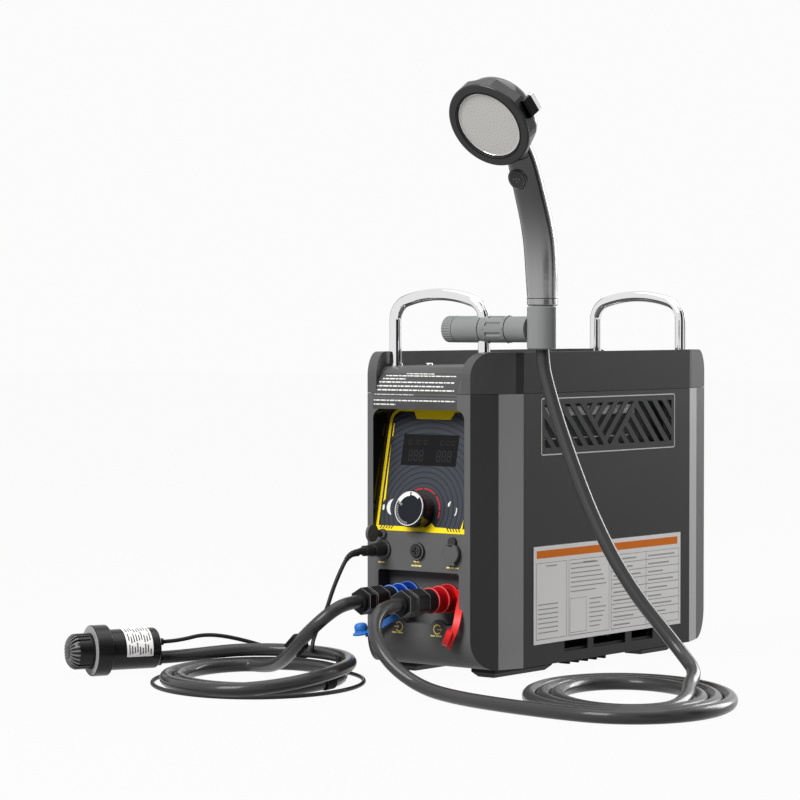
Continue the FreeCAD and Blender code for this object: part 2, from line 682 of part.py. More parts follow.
def make_control_board():
    """Circuit board behind the panel with stand-offs, display module and encoder."""
    half = BOARD_WIDTH / 2
    front = -PANEL_PLATE - BOARD_GAP
    s0 = (PANEL_HEIGHT - BOARD_HEIGHT) / 2
    s1 = s0 + BOARD_HEIGHT
    board = panel_block(-half, half, s0, s1, front - BOARD_THICKNESS, front)
    parts = [board]
    for x in (-half + 5, half - 5):
        for s in (s0 + 5, s1 - 5):
            parts.append(rod(on_panel(x, s, front - 0.5), PANEL_NORMAL, 6, BOARD_GAP + 0.5))
    parts.append(panel_block(WINDOW_X[0] - 2, WINDOW_X[1] + 2, WINDOW_S[0] - 2, WINDOW_S[1] + 2,
                             front - 0.5, -PANEL_PLATE - CLEAR))
    parts.append(panel_block(KNOB_X - 7, KNOB_X + 7, KNOB_S - 7, KNOB_S + 7,
                             front - 0.5, -PANEL_PLATE))
    reach = PANEL_PLATE + KNOB_LIFT + KNOB_BORE_DEPTH - CLEAR
    parts.append(rod(on_panel(KNOB_X, KNOB_S, -PANEL_PLATE - 1), PANEL_NORMAL, KNOB_SHAFT,
                     reach + 1))
    return fuse(parts)


def make_control_knob():
    """Smooth knob that widens from the panel to its flat face."""
    base = on_panel(KNOB_X, KNOB_S, KNOB_LIFT)
    neck = KNOB_LENGTH - KNOB_FACE
    body = Part.makeCone(KNOB_FOOT / 2, KNOB_DIAMETER / 2, neck, base, PANEL_NORMAL)
    knob = fuse([body, rod(base + PANEL_NORMAL * neck, PANEL_NORMAL, KNOB_DIAMETER, KNOB_FACE)])
    rims = [e for e in knob.Edges if len(e.Vertexes) == 1]
    outer = max(rims, key=lambda e: e.CenterOfMass.dot(PANEL_NORMAL))
    knob = knob.makeFillet(KNOB_FACE * 0.3, [outer])
    bore = rod(base - PANEL_NORMAL, PANEL_NORMAL, KNOB_SHAFT + 2 * FIT, KNOB_BORE_DEPTH + 1)
    return knob.cut(bore)


# ---------------------------------------------------------------- socket row
def make_socket(x):
    """Panel socket: flange in front, threaded body and ring nut behind the cap."""
    face = vec(x, -HALF_LENGTH, SOCKET_Z)
    flange = rod(face, -Y, SOCKET_FLANGE, SOCKET_FLANGE_THICKNESS)
    body = rod(face - Y, Y, SOCKET_BODY, SOCKET_DEPTH)
    nut = hexagon(face + Y * (MOULDED_WALL), Y, SOCKET_FLANGE - 1, 3)
    bore = rod(face - Y * 10, Y, SOCKET_BORE, 10 + SOCKET_DEPTH - 3)
    return fuse([flange, body, nut]).cut(bore)


def make_pump_socket():
    """Socket of the pump lead, with the screw stud that holds its cap."""
    stud = rod(vec(-SOCKET_X, -HALF_LENGTH, SOCKET_Z + PUMP_LUG_RISE), -Y, CAP_STUD, 7)
    return [make_socket(-SOCKET_X), stud]


def make_pump_socket_cap():
    """Rubber cap turned aside: lug on the stud, strap and disc edge-on to the front."""
    z = SOCKET_Z + PUMP_LUG_RISE
    front = -HALF_LENGTH - SOCKET_FLANGE_THICKNESS
    lug = tube(vec(-SOCKET_X, -HALF_LENGTH - CLEAR, z), -Y, CAP_LUG, CAP_STUD + 2 * FIT, 3)
    centre = vec(-SOCKET_X - 2, front - 13, z + 1)
    disc = rod(centre - X * CAP_DISC_THICKNESS / 2, X, CAP_DISC, CAP_DISC_THICKNESS)
    rim = tube(centre - X * (CAP_DISC_THICKNESS / 2 + 2), X, SOCKET_BORE, SOCKET_BORE - 3, 2.5)
    strap = box(centre.x - 1, centre.x + 1, front - 10, -HALF_LENGTH - 2,
                z - STRAP_WIDTH / 2, z + STRAP_WIDTH / 2)
    strap = strap.cut(rod(vec(-SOCKET_X, -HALF_LENGTH + 1, z), -Y, CAP_STUD + 2 * FIT, 8.5))
    return fuse([lug, disc, rim, strap])


def make_fuse_holder():
    face = vec(0, -HALF_LENGTH, SOCKET_Z)
    flange = tube(face, -Y, FUSE_FLANGE, FUSE_CAP + 2 * CLEAR, 3.0)
    body = tube(face - Y * 0.5, Y, FUSE_CAP, FUSE_STEM + 2 * FIT, SOCKET_DEPTH)
    web = tube(face - Y * 0.5, Y, FUSE_FLANGE - 1, FUSE_CAP - 1, 0.5)
    nut = hexagon(face + Y * MOULDED_WALL, Y, FUSE_FLANGE, 3)
    nut = nut.cut(rod(face, Y, FUSE_STEM + 2 * FIT, SOCKET_DEPTH))
    return fuse([flange, body, web, nut])


def make_fuse_cap():
    """Screw cap with a cross slot and a stem in the fuse holder."""
    face = vec(0, -HALF_LENGTH - 0.5 - CLEAR, SOCKET_Z)
    head = rod(face, -Y, FUSE_CAP, 4.0)
    rims = [e for e in head.Edges if len(e.Vertexes) == 1 and e.CenterOfMass.y < face.y - 1]
    head = head.makeChamfer(0.8, rims)
    stem = rod(face - Y * 0.5, Y, FUSE_STEM, SOCKET_DEPTH - 4)
    front = face.y - 4.0
    cross = [box(-3.8, 3.8, front - 1, front + 1.5, SOCKET_Z - 0.7, SOCKET_Z + 0.7),
             box(-0.7, 0.7, front - 1, front + 1.5, SOCKET_Z - 3.8, SOCKET_Z + 3.8)]
    return cut(fuse([head, stem]), cross)


def make_dc_socket():
    """Power socket with the fixed half of its cap's strap above it."""
    lug = rod(vec(SOCKET_X, -HALF_LENGTH, SOCKET_Z + DC_LUG_RISE), -Y, CAP_LUG, DC_LUG_LENGTH)
    return fuse([make_socket(SOCKET_X), lug])


def make_dc_socket_cap():
    """Closed rubber cap: disc over the socket with a pull tab below."""
    front = -HALF_LENGTH - SOCKET_FLANGE_THICKNESS - CLEAR
    disc = rod(vec(SOCKET_X, front, SOCKET_Z), -Y, SOCKET_FLANGE, CAP_DISC_THICKNESS)
    tab = box(SOCKET_X - 5, SOCKET_X + 5, front - CAP_DISC_THICKNESS, front,
              SOCKET_Z - SOCKET_FLANGE / 2 - 2, SOCKET_Z)
    lug = rod(vec(SOCKET_X, -HALF_LENGTH + 1, SOCKET_Z + DC_LUG_RISE), -Y,
              CAP_LUG + 2 * CLEAR, 12)
    return fuse([disc, tab]).cut(lug)


# ---------------------------------------------------------------- water fittings
BAY_BACK = BAY_DEPTH - HALF_LENGTH
COLLAR_END = BAY_BACK - COLLAR_LENGTH
SLEEVE_END_Y = COLLAR_END - CLEAR - SLEEVE_LENGTH
NUT_START = SLEEVE_END_Y - PORT_GAP
NUT_END = NUT_START - NUT_LENGTH
SPUD_END = NUT_START - NUT_LENGTH * 2 / 3
TAIL_FLANGE = 2.4
TAIL_HEX_START = NUT_END - PORT_GAP
HOSE_START = TAIL_HEX_START - TAIL_HEX_LENGTH - TAIL_COLLAR_LENGTH


def make_water_port(x):
    """Moulded spud through the bay's back wall, with a sleeve that takes the union nut."""
    parts = [rod(vec(x, SPUD_END, PORT_Z), Y, SPUD_DIAMETER, BAY_BACK + 12 - SPUD_END),
             rod(vec(x, SLEEVE_END_Y, PORT_Z), Y, SLEEVE_DIAMETER, SLEEVE_LENGTH),
             hexagon(vec(x, BAY_BACK + MOULDED_WALL, PORT_Z), Y, SPUD_FLANGE, 4)]
    bore = rod(vec(x, SPUD_END - 1, PORT_Z), Y, SPUD_BORE, BAY_BACK + 14 - SPUD_END)
    return fuse(parts).cut(bore)


def make_collar(x):
    """Coloured collar with three ribs that shrink away from the case."""
    parts = [rod(vec(x, BAY_BACK, PORT_Z), -Y, COLLAR_CORE, COLLAR_LENGTH)]
    pitch = (COLLAR_LENGTH - RIB_WIDTH) / (len(COLLAR_RIBS) - 1)
    for i, size in enumerate(COLLAR_RIBS):
        rib = rod(vec(x, BAY_BACK - i * pitch, PORT_Z), -Y, size, RIB_WIDTH)
        parts.append(rib.makeFillet(1.0, [e for e in rib.Edges if len(e.Vertexes) == 1]))
    bore = rod(vec(x, BAY_BACK + 1, PORT_Z), -Y, SPUD_DIAMETER + 2 * FIT, COLLAR_LENGTH + 2)
    return fuse(parts).cut(bore)


def make_hose_connector(x):
    """Hose tail: flange held inside the union nut, hexagon and hose collar."""
    parts = [rod(vec(x, SPUD_END - CLEAR, PORT_Z), -Y, SPUD_DIAMETER - 1, TAIL_FLANGE),
             rod(vec(x, SPUD_END - CLEAR, PORT_Z), -Y, TAIL_NECK, SPUD_END - TAIL_HEX_START),
             hexagon(vec(x, TAIL_HEX_START, PORT_Z), -Y, NUT_WIDTH - 1, TAIL_HEX_LENGTH),
             rod(vec(x, TAIL_HEX_START, PORT_Z), -Y, TAIL_COLLAR,
                 TAIL_HEX_LENGTH + TAIL_COLLAR_LENGTH)]
    bore = rod(vec(x, SPUD_END, PORT_Z), -Y, TAIL_NECK - 4, SPUD_END - HOSE_START - 2)
    return fuse(parts).cut(bore)


def make_union_nut(x):
    """Hexagonal nut that turns on the spud and holds the hose tail by its flange."""
    nut = hexagon(vec(x, NUT_START, PORT_Z), -Y, NUT_WIDTH, NUT_LENGTH)
    shoulder = SPUD_END - TAIL_FLANGE - 2 * CLEAR
    wide = rod(vec(x, NUT_START + 1, PORT_Z), -Y, SPUD_DIAMETER + 2 * FIT,
               NUT_START + 1 - shoulder)
    narrow = rod(vec(x, NUT_START, PORT_Z), -Y, TAIL_NECK + 2 * FIT, NUT_LENGTH + 1)
    round_off = rod(vec(x, NUT_START, PORT_Z), -Y, NUT_WIDTH * 1.1, NUT_LENGTH)
    return nut.common(round_off).cut(wide).cut(narrow)


# ---------------------------------------------------------------- inside parts
def make_inner_frame():
    """Four posts on the base pan, joined by side rails and cross rails."""
    half = POST_SIZE / 2
    top = DECK_Z - MOULDED_WALL
    parts = []
    for x in (-POST_X, POST_X):
        for y in (-POST_Y, POST_Y):
            parts.append(box(x - half, x + half, y - half, y + half, PAN_TOP, top))
        for z in RAIL_Z:
            parts.append(box(x - half, x + half, -POST_Y, POST_Y, z, z + RAIL_HEIGHT))
    for y in CROSS_RAIL_Y:
        for z in RAIL_Z:
            parts.append(box(-POST_X, POST_X, y - half, y + half, z, z + RAIL_HEIGHT))
    holes = []
    for x in (-POST_X, POST_X):
        for y in (-POST_Y, POST_Y):
            depth = SCREW_LENGTH + 2
            holes.append(rod(vec(x, y, DECK_Z - depth), Z, SCREW_SHANK + 2 * FIT, depth))
    return cut(fuse(parts), holes)


EXCHANGER_Z = RAIL_Z[1] + RAIL_HEIGHT
PIPE_UP_Z = EXCHANGER_Z + 20


def make_heat_exchanger():
    """Copper block with fins along its sides and two water stubs in front."""
    half = EXCHANGER_WIDTH / 2
    y0, y1 = EXCHANGER_Y
    core = box(-half, half, y0, y1, EXCHANGER_Z, EXCHANGER_Z + EXCHANGER_HEIGHT)
    gaps = []
    pitch = (y1 - y0) / FIN_COUNT
    for i in range(FIN_COUNT):
        y = y0 + pitch * i + pitch / 4
        for side in (-1, 1):
            x0, x1 = sorted((side * (half - FIN_DEPTH), side * (half + 1)))
            gaps.append(box(x0, x1, y, y + pitch / 2, EXCHANGER_Z + 4,
                            EXCHANGER_Z + EXCHANGER_HEIGHT - 4))
    core = cut(core, gaps)
    flue = box(-half / 2, half / 2, y0 + 15, y1 - 15, EXCHANGER_Z - 1,
               EXCHANGER_Z + EXCHANGER_HEIGHT - 15)
    return core.cut(flue)


def make_burner():
    """Burner box with a row of flame ports, and the igniter electrode beside them."""
    half = BURNER_WIDTH / 2
    base = RAIL_Z[0] + RAIL_HEIGHT
    y0, y1 = BURNER_Y
    body = box(-half, half, y0, y1, base, base + BURNER_HEIGHT)
    pitch = BURNER_WIDTH / BURNER_PORTS
    grooves = []
    for i in range(BURNER_PORTS):
        x = -half + pitch * (i + 0.5)
        grooves.append(box(x - 1.5, x + 1.5, y0 + 6, y1 - 6, base + BURNER_HEIGHT - 8,
                           base + BURNER_HEIGHT + 1))
    body = cut(body, grooves)
    stem = rod(vec(-half + 3, (y0 + y1) / 2, base + BURNER_HEIGHT), Z, 3, 18)
    return [body, stem]


def make_flue_hood():
    """Bright sheet duct from the heat exchanger to the side vent."""
    half = POST_Y - POST_SIZE / 2 - HOOD_GAP
    x0 = EXCHANGER_WIDTH / 2 + CLEAR
    x1 = CASE_WIDTH / 2 - SHEET_WALL - HOOD_LIP
    z0, z1 = HOOD_Z
    duct = box(x0, x1, -half, half, z0, z1)
    room = box(x0 + HOOD_WALL, x1 + 1, -half + HOOD_WALL, half - HOOD_WALL,
               z0 + HOOD_WALL, z1 - HOOD_WALL)
    window = box(x0 - 1, x1, EXCHANGER_Y[0] + 10, EXCHANGER_Y[1] - 10, z0 + 8, z1 - 12)
    return cut(duct, [room, window])


def rounded_path(points, radius):
    """Straight runs joined by arcs of one radius."""
    edges = []
    start = points[0]
    for i in range(1, len(points) - 1):
        back = (points[i - 1] - points[i]).normalize()
        ahead = (points[i + 1] - points[i]).normalize()
        turn = math.pi - back.getAngle(ahead)
        trim = radius * math.tan(turn / 2)
        a = points[i] + back * trim
        b = points[i] + ahead * trim
        inward = (back + ahead).normalize()
        reach = radius / math.cos(turn / 2) - radius
        edges.append(Part.LineSegment(start, a).toShape())
        edges.append(Part.Arc(a, points[i] + inward * reach, b).toShape())
        start = b
    edges.append(Part.LineSegment(start, points[-1]).toShape())
    return Part.Wire(edges)


def make_pipe(points, diameter, bend):
    path = rounded_path(points, bend)
    profile = Part.Wire([Part.makeCircle(diameter / 2, points[0], points[1] - points[0])])
    return path.makePipeShell([profile], True, False)


def make_gas_valve():
    """Valve and regulator block on a foot, with a solenoid on top."""
    x0, x1 = VALVE_X
    y0, y1 = VALVE_Y
    z0, z1 = VALVE_Z
    mid_y = (y0 + y1) / 2
    parts = [box(x0, x1, y0, y1, z0, z1),
             box(x0 + 8, x1 - 8, mid_y - 12, mid_y + 12, PAN_TOP, z0),
             box(x0, x1, mid_y - 16, mid_y + 16, PAN_TOP, PAN_TOP + 3),
             rod(vec(x0 + 14, mid_y, z1), Z, 22, 18)]
    return fuse(parts)


def make_gas_inlet_fitting():
    """Brass inlet: stem from the valve through the rear cap, hexagon and flare thread."""
    start = VALVE_Y[1]
    end = HALF_LENGTH + MOULDED_WALL
    stem = rod(vec(GAS_X, start, GAS_Z), Y, GAS_STEM, end + 1 - start)
    nut = hexagon(vec(GAS_X, HALF_LENGTH, GAS_Z), Y, 19, 5)
    flare = rod(vec(GAS_X, HALF_LENGTH + 5, GAS_Z), Y, FLARE_DIAMETER, FLARE_LENGTH)
    rims = [e for e in flare.Edges if len(e.Vertexes) == 1
            and e.CenterOfMass.y > HALF_LENGTH + 6]
    flare = flare.makeChamfer(1.5, rims)
    bore = rod(vec(GAS_X, start + 4, GAS_Z), Y, 5, HALF_LENGTH + 40 - start)
    return fuse([stem, nut, flare]).cut(bore)


def make_gas_pipe():
    """Pipe from the front of the valve up to the rear end of the burner."""
    z = RAIL_Z[0] + RAIL_HEIGHT + BURNER_HEIGHT / 3
    low = VALVE_Z[0] + 12
    y = VALVE_Y[0] - 14
    points = [vec(GAS_X, VALVE_Y[0], low), vec(GAS_X, y, low), vec(GAS_X, y, z),
              vec(GAS_X, BURNER_Y[1], z)]
    return make_pipe(points, GAS_PIPE, 6.5)


def make_cold_water_pipes():
    """Inlet port to flow sensor, and flow sensor up to the heat exchanger."""
    y = EXCHANGER_Y[0] - 22
    start = BAY_BACK + 12
    first = rod(vec(-PORT_X, start, PORT_Z), Y, WATER_PIPE, SENSOR_Y[0] - start)
    second = make_pipe([vec(-PORT_X, SENSOR_Y[1], PORT_Z), vec(-PORT_X, y, PORT_Z),
                        vec(-PORT_X, y, PIPE_UP_Z), vec(-PORT_X, EXCHANGER_Y[0], PIPE_UP_Z)],
                       WATER_PIPE, 12)
    return [first, second]


def make_hot_water_pipe():
    """Heat exchanger down to the outlet port."""
    y = EXCHANGER_Y[0] - 22
    return make_pipe([vec(PORT_X, EXCHANGER_Y[0], PIPE_UP_Z), vec(PORT_X, y, PIPE_UP_Z),
                      vec(PORT_X, y, PORT_Z), vec(PORT_X, BAY_BACK + 12, PORT_Z)],
                     WATER_PIPE, 12)


def make_flow_sensor():
    length = SENSOR_Y[1] - SENSOR_Y[0]
    body = rod(vec(-PORT_X, SENSOR_Y[0], PORT_Z), Y, SENSOR_DIAMETER, length)
    lead = box(-PORT_X - 8, -PORT_X + 8, SENSOR_Y[0] + 10, SENSOR_Y[1] - 10, PORT_Z,
               PORT_Z + SENSOR_DIAMETER / 2 + 4)
    return fuse([body, lead])


FAN_BASE = PAN_TOP
FAN_MOTOR_TOP = FAN_BASE + 6.0


def make_fan_housing():
    """Square fan frame on the base pan, with the motor seat and shaft in its middle."""
    half = FAN_SIZE / 2
    frame = box(-half, half, FAN_Y - half, FAN_Y + half, FAN_BASE, FAN_BASE + FAN_HEIGHT)
    frame = frame.cut(rod(vec(0, FAN_Y, FAN_BASE - 1), Z, FAN_DUCT, FAN_HEIGHT + 2))
    parts = [frame, rod(vec(0, FAN_Y, FAN_BASE), Z, FAN_HUB, FAN_MOTOR_TOP - FAN_BASE),
             rod(vec(0, FAN_Y, FAN_BASE), Z, FAN_SHAFT, FAN_HEIGHT - 6)]
    for turn in (0, 90, 180, 270):
        arm = box(0, half - 1, FAN_Y - 2, FAN_Y + 2, FAN_BASE, FAN_BASE + 3)
        arm.rotate(vec(0, FAN_Y, 0), Z, turn + 45)
        parts.append(arm)
    return fuse(parts)


def make_fan_wheel():
    """Hub with slanted blades that turns on the fan's shaft."""
    low = FAN_MOTOR_TOP + CLEAR
    height = FAN_HEIGHT - 8
    hub = rod(vec(0, FAN_Y, low), Z, FAN_HUB, FAN_BASE + FAN_HEIGHT - 2 - low)
    room = rod(vec(0, FAN_Y, 0), Z, FAN_WHEEL, 200)
    parts = [hub]
    for i in range(FAN_BLADES):
        blade = box(FAN_HUB / 2 - 2, FAN_WHEEL / 2, -1, 1, -height / 2, height / 2)
        blade.rotate(vec(0, 0, 0), X, 45)
        blade.rotate(vec(0, 0, 0), Z, 360 * i / FAN_BLADES)
        blade.translate(vec(0, FAN_Y, (low + FAN_BASE + FAN_HEIGHT - 2) / 2))
        parts.append(blade.common(room))
    bore = rod(vec(0, FAN_Y, 0), Z, FAN_SHAFT + 2 * FIT, FAN_BASE + FAN_HEIGHT - 5)
    return fuse(parts).cut(bore)


# ---------------------------------------------------------------- handset holder
def holder_rod(x0, x1, diameter):
    return rod(vec(x0, -HANDLE_Y, HOLDER_Z), X, diameter, x1 - x0)


def make_holder_clamp_knob():
    """Ridged knob that draws the two clamp halves together."""
    x0, x1 = CLAMP_KNOB_X
    knob = holder_rod(x0, x1, HOLDER_BARREL)
    rims = [e for e in knob.Edges if len(e.Vertexes) == 1 and e.CenterOfMass.x < x0 + 1]
    knob = knob.makeFillet(2.5, rims)
    grooves = []
    for i in range(CLAMP_KNOB_RIDGES):
        turn = 2 * math.pi * i / CLAMP_KNOB_RIDGES
        reach = HOLDER_BARREL / 2 + 0.5
        centre = vec(x0 - 1, -HANDLE_Y + reach * math.cos(turn), HOLDER_Z + reach * math.sin(turn))
        grooves.append(rod(centre, X, 2.0, x1 - x0 - 1))
    screw = holder_rod(x1 - 1, x1 + 12, 8)
    return fuse([cut(knob, grooves), screw])


def make_holder_clamp():
    """Two barrel halves that grip the handle tube, the right one carries the cradle."""
    leg = handle_bar(HANDLE_TUBE + 2 * FIT)
    leg.translate(vec(0, -HANDLE_Y, 0))
    left = holder_rod(CLAMP_KNOB_X[1] + CLEAR, LEFT_HALF_END, HOLDER_BARREL)
    left = left.cut(holder_rod(CLAMP_KNOB_X[1], CLAMP_KNOB_X[1] + 12 + 2 * CLEAR, 8 + 2 * FIT))
    sleeve = holder_rod(SLEEVE_START, SLEEVE_END, HOLDER_BARREL)
    rims = [e for e in sleeve.Edges if len(e.Vertexes) == 1]
    sleeve = sleeve.makeFillet(1.0, rims)
    neck = holder_rod(SLEEVE_END - 1, HOLDER_NECK_END, HOLDER_BARREL - 0.8)
    grooves = []
    for i in range(SLEEVE_GROOVES):
        turn = 2 * math.pi * (i + 0.5) / SLEEVE_GROOVES
        reach = HOLDER_BARREL / 2 + 0.7
        y = -HANDLE_Y + reach * math.cos(turn)
        z = HOLDER_Z + reach * math.sin(turn)
        grooves.append(rod(vec(SLEEVE_START + 9, y, z), X, 4.5, SLEEVE_END - SLEEVE_START - 13))
    right = cut(fuse([sleeve, neck]), grooves)
    cradle = rod(vec(CRADLE_X, -HANDLE_Y, CRADLE_Z[0] - 1), Z, CRADLE_DIAMETER + 2 * FIT,
                 CRADLE_Z[1] - CRADLE_Z[0] + 2)
    return [left.cut(leg), cut(right, [leg, cradle])]


def make_holder_cradle():
    """Open sleeve that holds the lower end of the handset."""
    low, high = CRADLE_Z
    base = vec(CRADLE_X, -HANDLE_Y, low)
    sleeve = rod(base, Z, CRADLE_DIAMETER, high - low)
    sleeve = sleeve.makeChamfer(1.0, [e for e in sleeve.Edges if len(e.Vertexes) == 1])
    bore = rod(base - Z, Z, CRADLE_BORE, high - low + 2)
    slot = Part.makeBox(CRADLE_DIAMETER, CRADLE_SLOT, high - low + 2,
                        vec(0, -CRADLE_SLOT / 2, -1))
    slot.rotate(vec(0, 0, 0), Z, CRADLE_SLOT_TURN)
    slot.translate(base)
    return cut(sleeve, [bore, slot])


# ---------------------------------------------------------------- handset
HEAD_ANGLE = math.radians(HEAD_TILT)
SPRAY_AXIS = vec(0, -math.cos(HEAD_ANGLE), -math.sin(HEAD_ANGLE))
HEAD_SIDE = vec(0, math.sin(HEAD_ANGLE), -math.cos(HEAD_ANGLE))
HEAD_ORIGIN = vec(CRADLE_X, -HANDLE_Y - HEAD_REACH, HEAD_Z)


def in_head(depth):
    """Point on the spray axis, depth behind the spray face."""
    return HEAD_ORIGIN - SPRAY_AXIS * depth


def station_loft(stations, shrink):
    """Round bar through stations of reach, z and diameter in the handset's plane."""
    points = [vec(CRADLE_X, -HANDLE_Y - reach, z) for reach, z, d in stations]
    rings = []
    for i, (reach, z, diameter) in enumerate(stations):
        before = points[max(i - 1, 0)]
        after = points[min(i + 1, len(points) - 1)]
        rings.append(Part.Wire([Part.makeCircle(diameter / 2 - shrink, points[i],
                                                (after - before).normalize())]))
    return Part.makeLoft(rings, True, False)


def button_frame():
    """Point on the handle's axis behind the stop button, and the button's direction."""
    lower, upper = GRIP_STATIONS[-2], GRIP_STATIONS[-1]
    share = (BUTTON_Z - lower[1]) / (upper[1] - lower[1])
    y = -HANDLE_Y - lower[0] - share * (upper[0] - lower[0])
    along = vec(0, lower[0] - upper[0], upper[1] - lower[1]).normalize()
    outward = vec(0, -along.z, along.y)
    radius = (lower[2] + share * (upper[2] - lower[2])) / 2
    return vec(CRADLE_X, y, BUTTON_Z), outward, radius


def make_handset_body():
    """Handle, neck and head shell, with the spigot that seats in the cradle."""
    low = GRIP_STATIONS[0]
    grip = station_loft(GRIP_STATIONS + NECK_STATIONS, 0)
    spigot = rod(vec(CRADLE_X, -HANDLE_Y, SPIGOT_LOW_Z), Z, SPIGOT_DIAMETER,
                 low[1] - SPIGOT_LOW_Z + 4)
    foot_z = CRADLE_Z[1] + CLEAR
    foot = rod(vec(CRADLE_X, -HANDLE_Y, foot_z), Z, low[2] + 0.6, low[1] + 2 - foot_z)
    foot = foot.makeChamfer(1.5, [e for e in foot.Edges if len(e.Vertexes) == 1
                                  and e.CenterOfMass.z < low[1]])
    shell = rod(in_head(HEAD_DEPTH), SPRAY_AXIS, HEAD_RIM, HEAD_DEPTH - RING_LENGTH - CLEAR)
    back = min((e for e in shell.Edges if len(e.Vertexes) == 1),
               key=lambda e: e.CenterOfMass.dot(SPRAY_AXIS))
    shell = shell.makeFillet(HEAD_DOME_RADIUS, [back])
    sleeve = rod(in_head(RING_LENGTH + 4), SPRAY_AXIS, SPRAY_DIAMETER - 2 * CLEAR,
                 RING_LENGTH + 4 - PLATE_RECESS - PLATE_THICKNESS)
    body = fuse([grip, spigot, foot, shell])
    ring_room = rod(in_head(RING_LENGTH + CLEAR), SPRAY_AXIS, RING_DIAMETER + 4, 40)
    body = fuse([body.cut(ring_room), sleeve])
    room = rod(in_head(HEAD_DEPTH - HEAD_WALL), SPRAY_AXIS, SPRAY_DIAMETER - 2 * HEAD_WALL,
               HEAD_DEPTH)
    post = rod(in_head(HEAD_DEPTH - HEAD_WALL), SPRAY_AXIS, PLATE_POST, HEAD_DEPTH)
    inner = station_loft(GRIP_STATIONS, GRIP_WALL)
    water = rod(vec(CRADLE_X, -HANDLE_Y, SPIGOT_LOW_Z - 1), Z, SPIGOT_BORE,
                low[1] - SPIGOT_LOW_Z + 3)
    point, outward, radius = button_frame()
    pocket = rod(point + outward * (radius - BUTTON_HEIGHT - BUTTON_TRAVEL - CLEAR), outward,
                 BUTTON_DIAMETER + 2 * CLEAR, 30)
    cup = rod(point + outward * (radius - BUTTON_HEIGHT - BUTTON_TRAVEL - 2), outward,
              BUTTON_DIAMETER + 4, BUTTON_HEIGHT + BUTTON_TRAVEL)
    body = cut(body, [room.cut(post), inner.cut(cup), water])
    return body.cut(pocket)


def make_spray_ring():
    """Faceted ring that turns round the head to choose the spray."""
    ring = rod(in_head(RING_LENGTH), SPRAY_AXIS, RING_DIAMETER, RING_LENGTH)
    front = max((e for e in ring.Edges if len(e.Vertexes) == 1),
                key=lambda e: e.CenterOfMass.dot(SPRAY_AXIS))
    ring = ring.makeFillet(2.0, [front])
    facets = []
    for i in range(RING_FACETS):
        block = Part.makeBox(30, 10, RING_LENGTH - RING_LIP,
                             vec(-15, RING_DIAMETER / 2 - RING_FACET_DEPTH, 0))
        block.rotate(vec(0, 0, 0), Z, 360 * i / RING_FACETS + RING_FACET_TURN)
        block.Placement = FreeCAD.Placement(in_head(RING_LENGTH),
                                            FreeCAD.Rotation(X, vec(0, 0, 0), SPRAY_AXIS, "ZXY")
                                            ).multiply(block.Placement)
        facets.append(block)
    bore = rod(in_head(RING_LENGTH + 1), SPRAY_AXIS, SPRAY_DIAMETER + 2 * FIT, RING_LENGTH + 2)
    return cut(ring, facets + [bore])


def make_mode_lever():
    """Bright lever on the spray ring, reaching back over the head shell."""
    turn = math.radians(LEVER_ANGLE)
    side = X * math.cos(turn) - HEAD_SIDE * math.sin(turn)
    across = side.cross(SPRAY_AXIS)
    inner = HEAD_RIM / 2 + 2 * CLEAR
    length = HEAD_DEPTH - 4 - RING_LENGTH + LEVER_OVERLAP
    block = Part.makeBox(LEVER_LENGTH, LEVER_WIDTH, length, vec(inner, -LEVER_WIDTH / 2, 0))
    outer = inner + LEVER_LENGTH - 1
    block = block.makeFillet(1.5, [e for e in block.Edges if e.CenterOfMass.x > outer])
    placing = FreeCAD.Rotation(side, across, SPRAY_AXIS, "ZXY")
    block.Placement = FreeCAD.Placement(in_head(HEAD_DEPTH - 4), placing)
    return block.cut(make_spray_ring())


def make_spray_plate():
    """Perforated spray disc inside the ring."""
    plate = rod(in_head(PLATE_RECESS + PLATE_THICKNESS), SPRAY_AXIS,
                SPRAY_DIAMETER - 2 * CLEAR, PLATE_THICKNESS)
    return plate


def make_stop_button():
    point, outward, radius = button_frame()
    button = rod(point + outward * (radius - BUTTON_HEIGHT), outward, BUTTON_DIAMETER,
                 BUTTON_HEIGHT + BUTTON_PROUD)
    front = max((e for e in button.Edges if len(e.Vertexes) == 1),
                key=lambda e: e.CenterOfMass.dot(outward))
    return button.makeFillet(1.2, [front])


# ---------------------------------------------------------------- hoses and cable
def coil_point(coil, turn_number, degrees, grow=0.0, z=COIL_TURN_Z):
    """Point on a coil's centre line. Turn 0 is the outermost."""
    x, y, short, long, turns = coil
    inset = HOSE * (turn_number + 0.5) - grow
    a = (short - inset) * math.cos(math.radians(degrees))
    b = (long - inset) * math.sin(math.radians(degrees))
    co, si = math.cos(math.radians(COIL_ANGLE)), math.sin(math.radians(COIL_ANGLE))
    return vec(x + a * co - b * si, y + a * si + b * co, z)


def make_coil(coil):
    """Outer shape of a flat coil, one closed ring."""
    x, y, short, long, turns = coil
    wires = []
    for inset in (0, HOSE * turns):
        major = coil_point(coil, -0.5, 90, -inset, 0)
        minor = coil_point(coil, -0.5, 0, -inset, 0)
        ellipse = Part.Ellipse(major, minor, vec(x, y, 0))
        wires.append(Part.Wire([ellipse.toShape()]))
    outer = Part.Face(wires[0]).extrude(vec(0, 0, HOSE))
    return outer.cut(Part.Face(wires[1]).extrude(vec(0, 0, HOSE)))


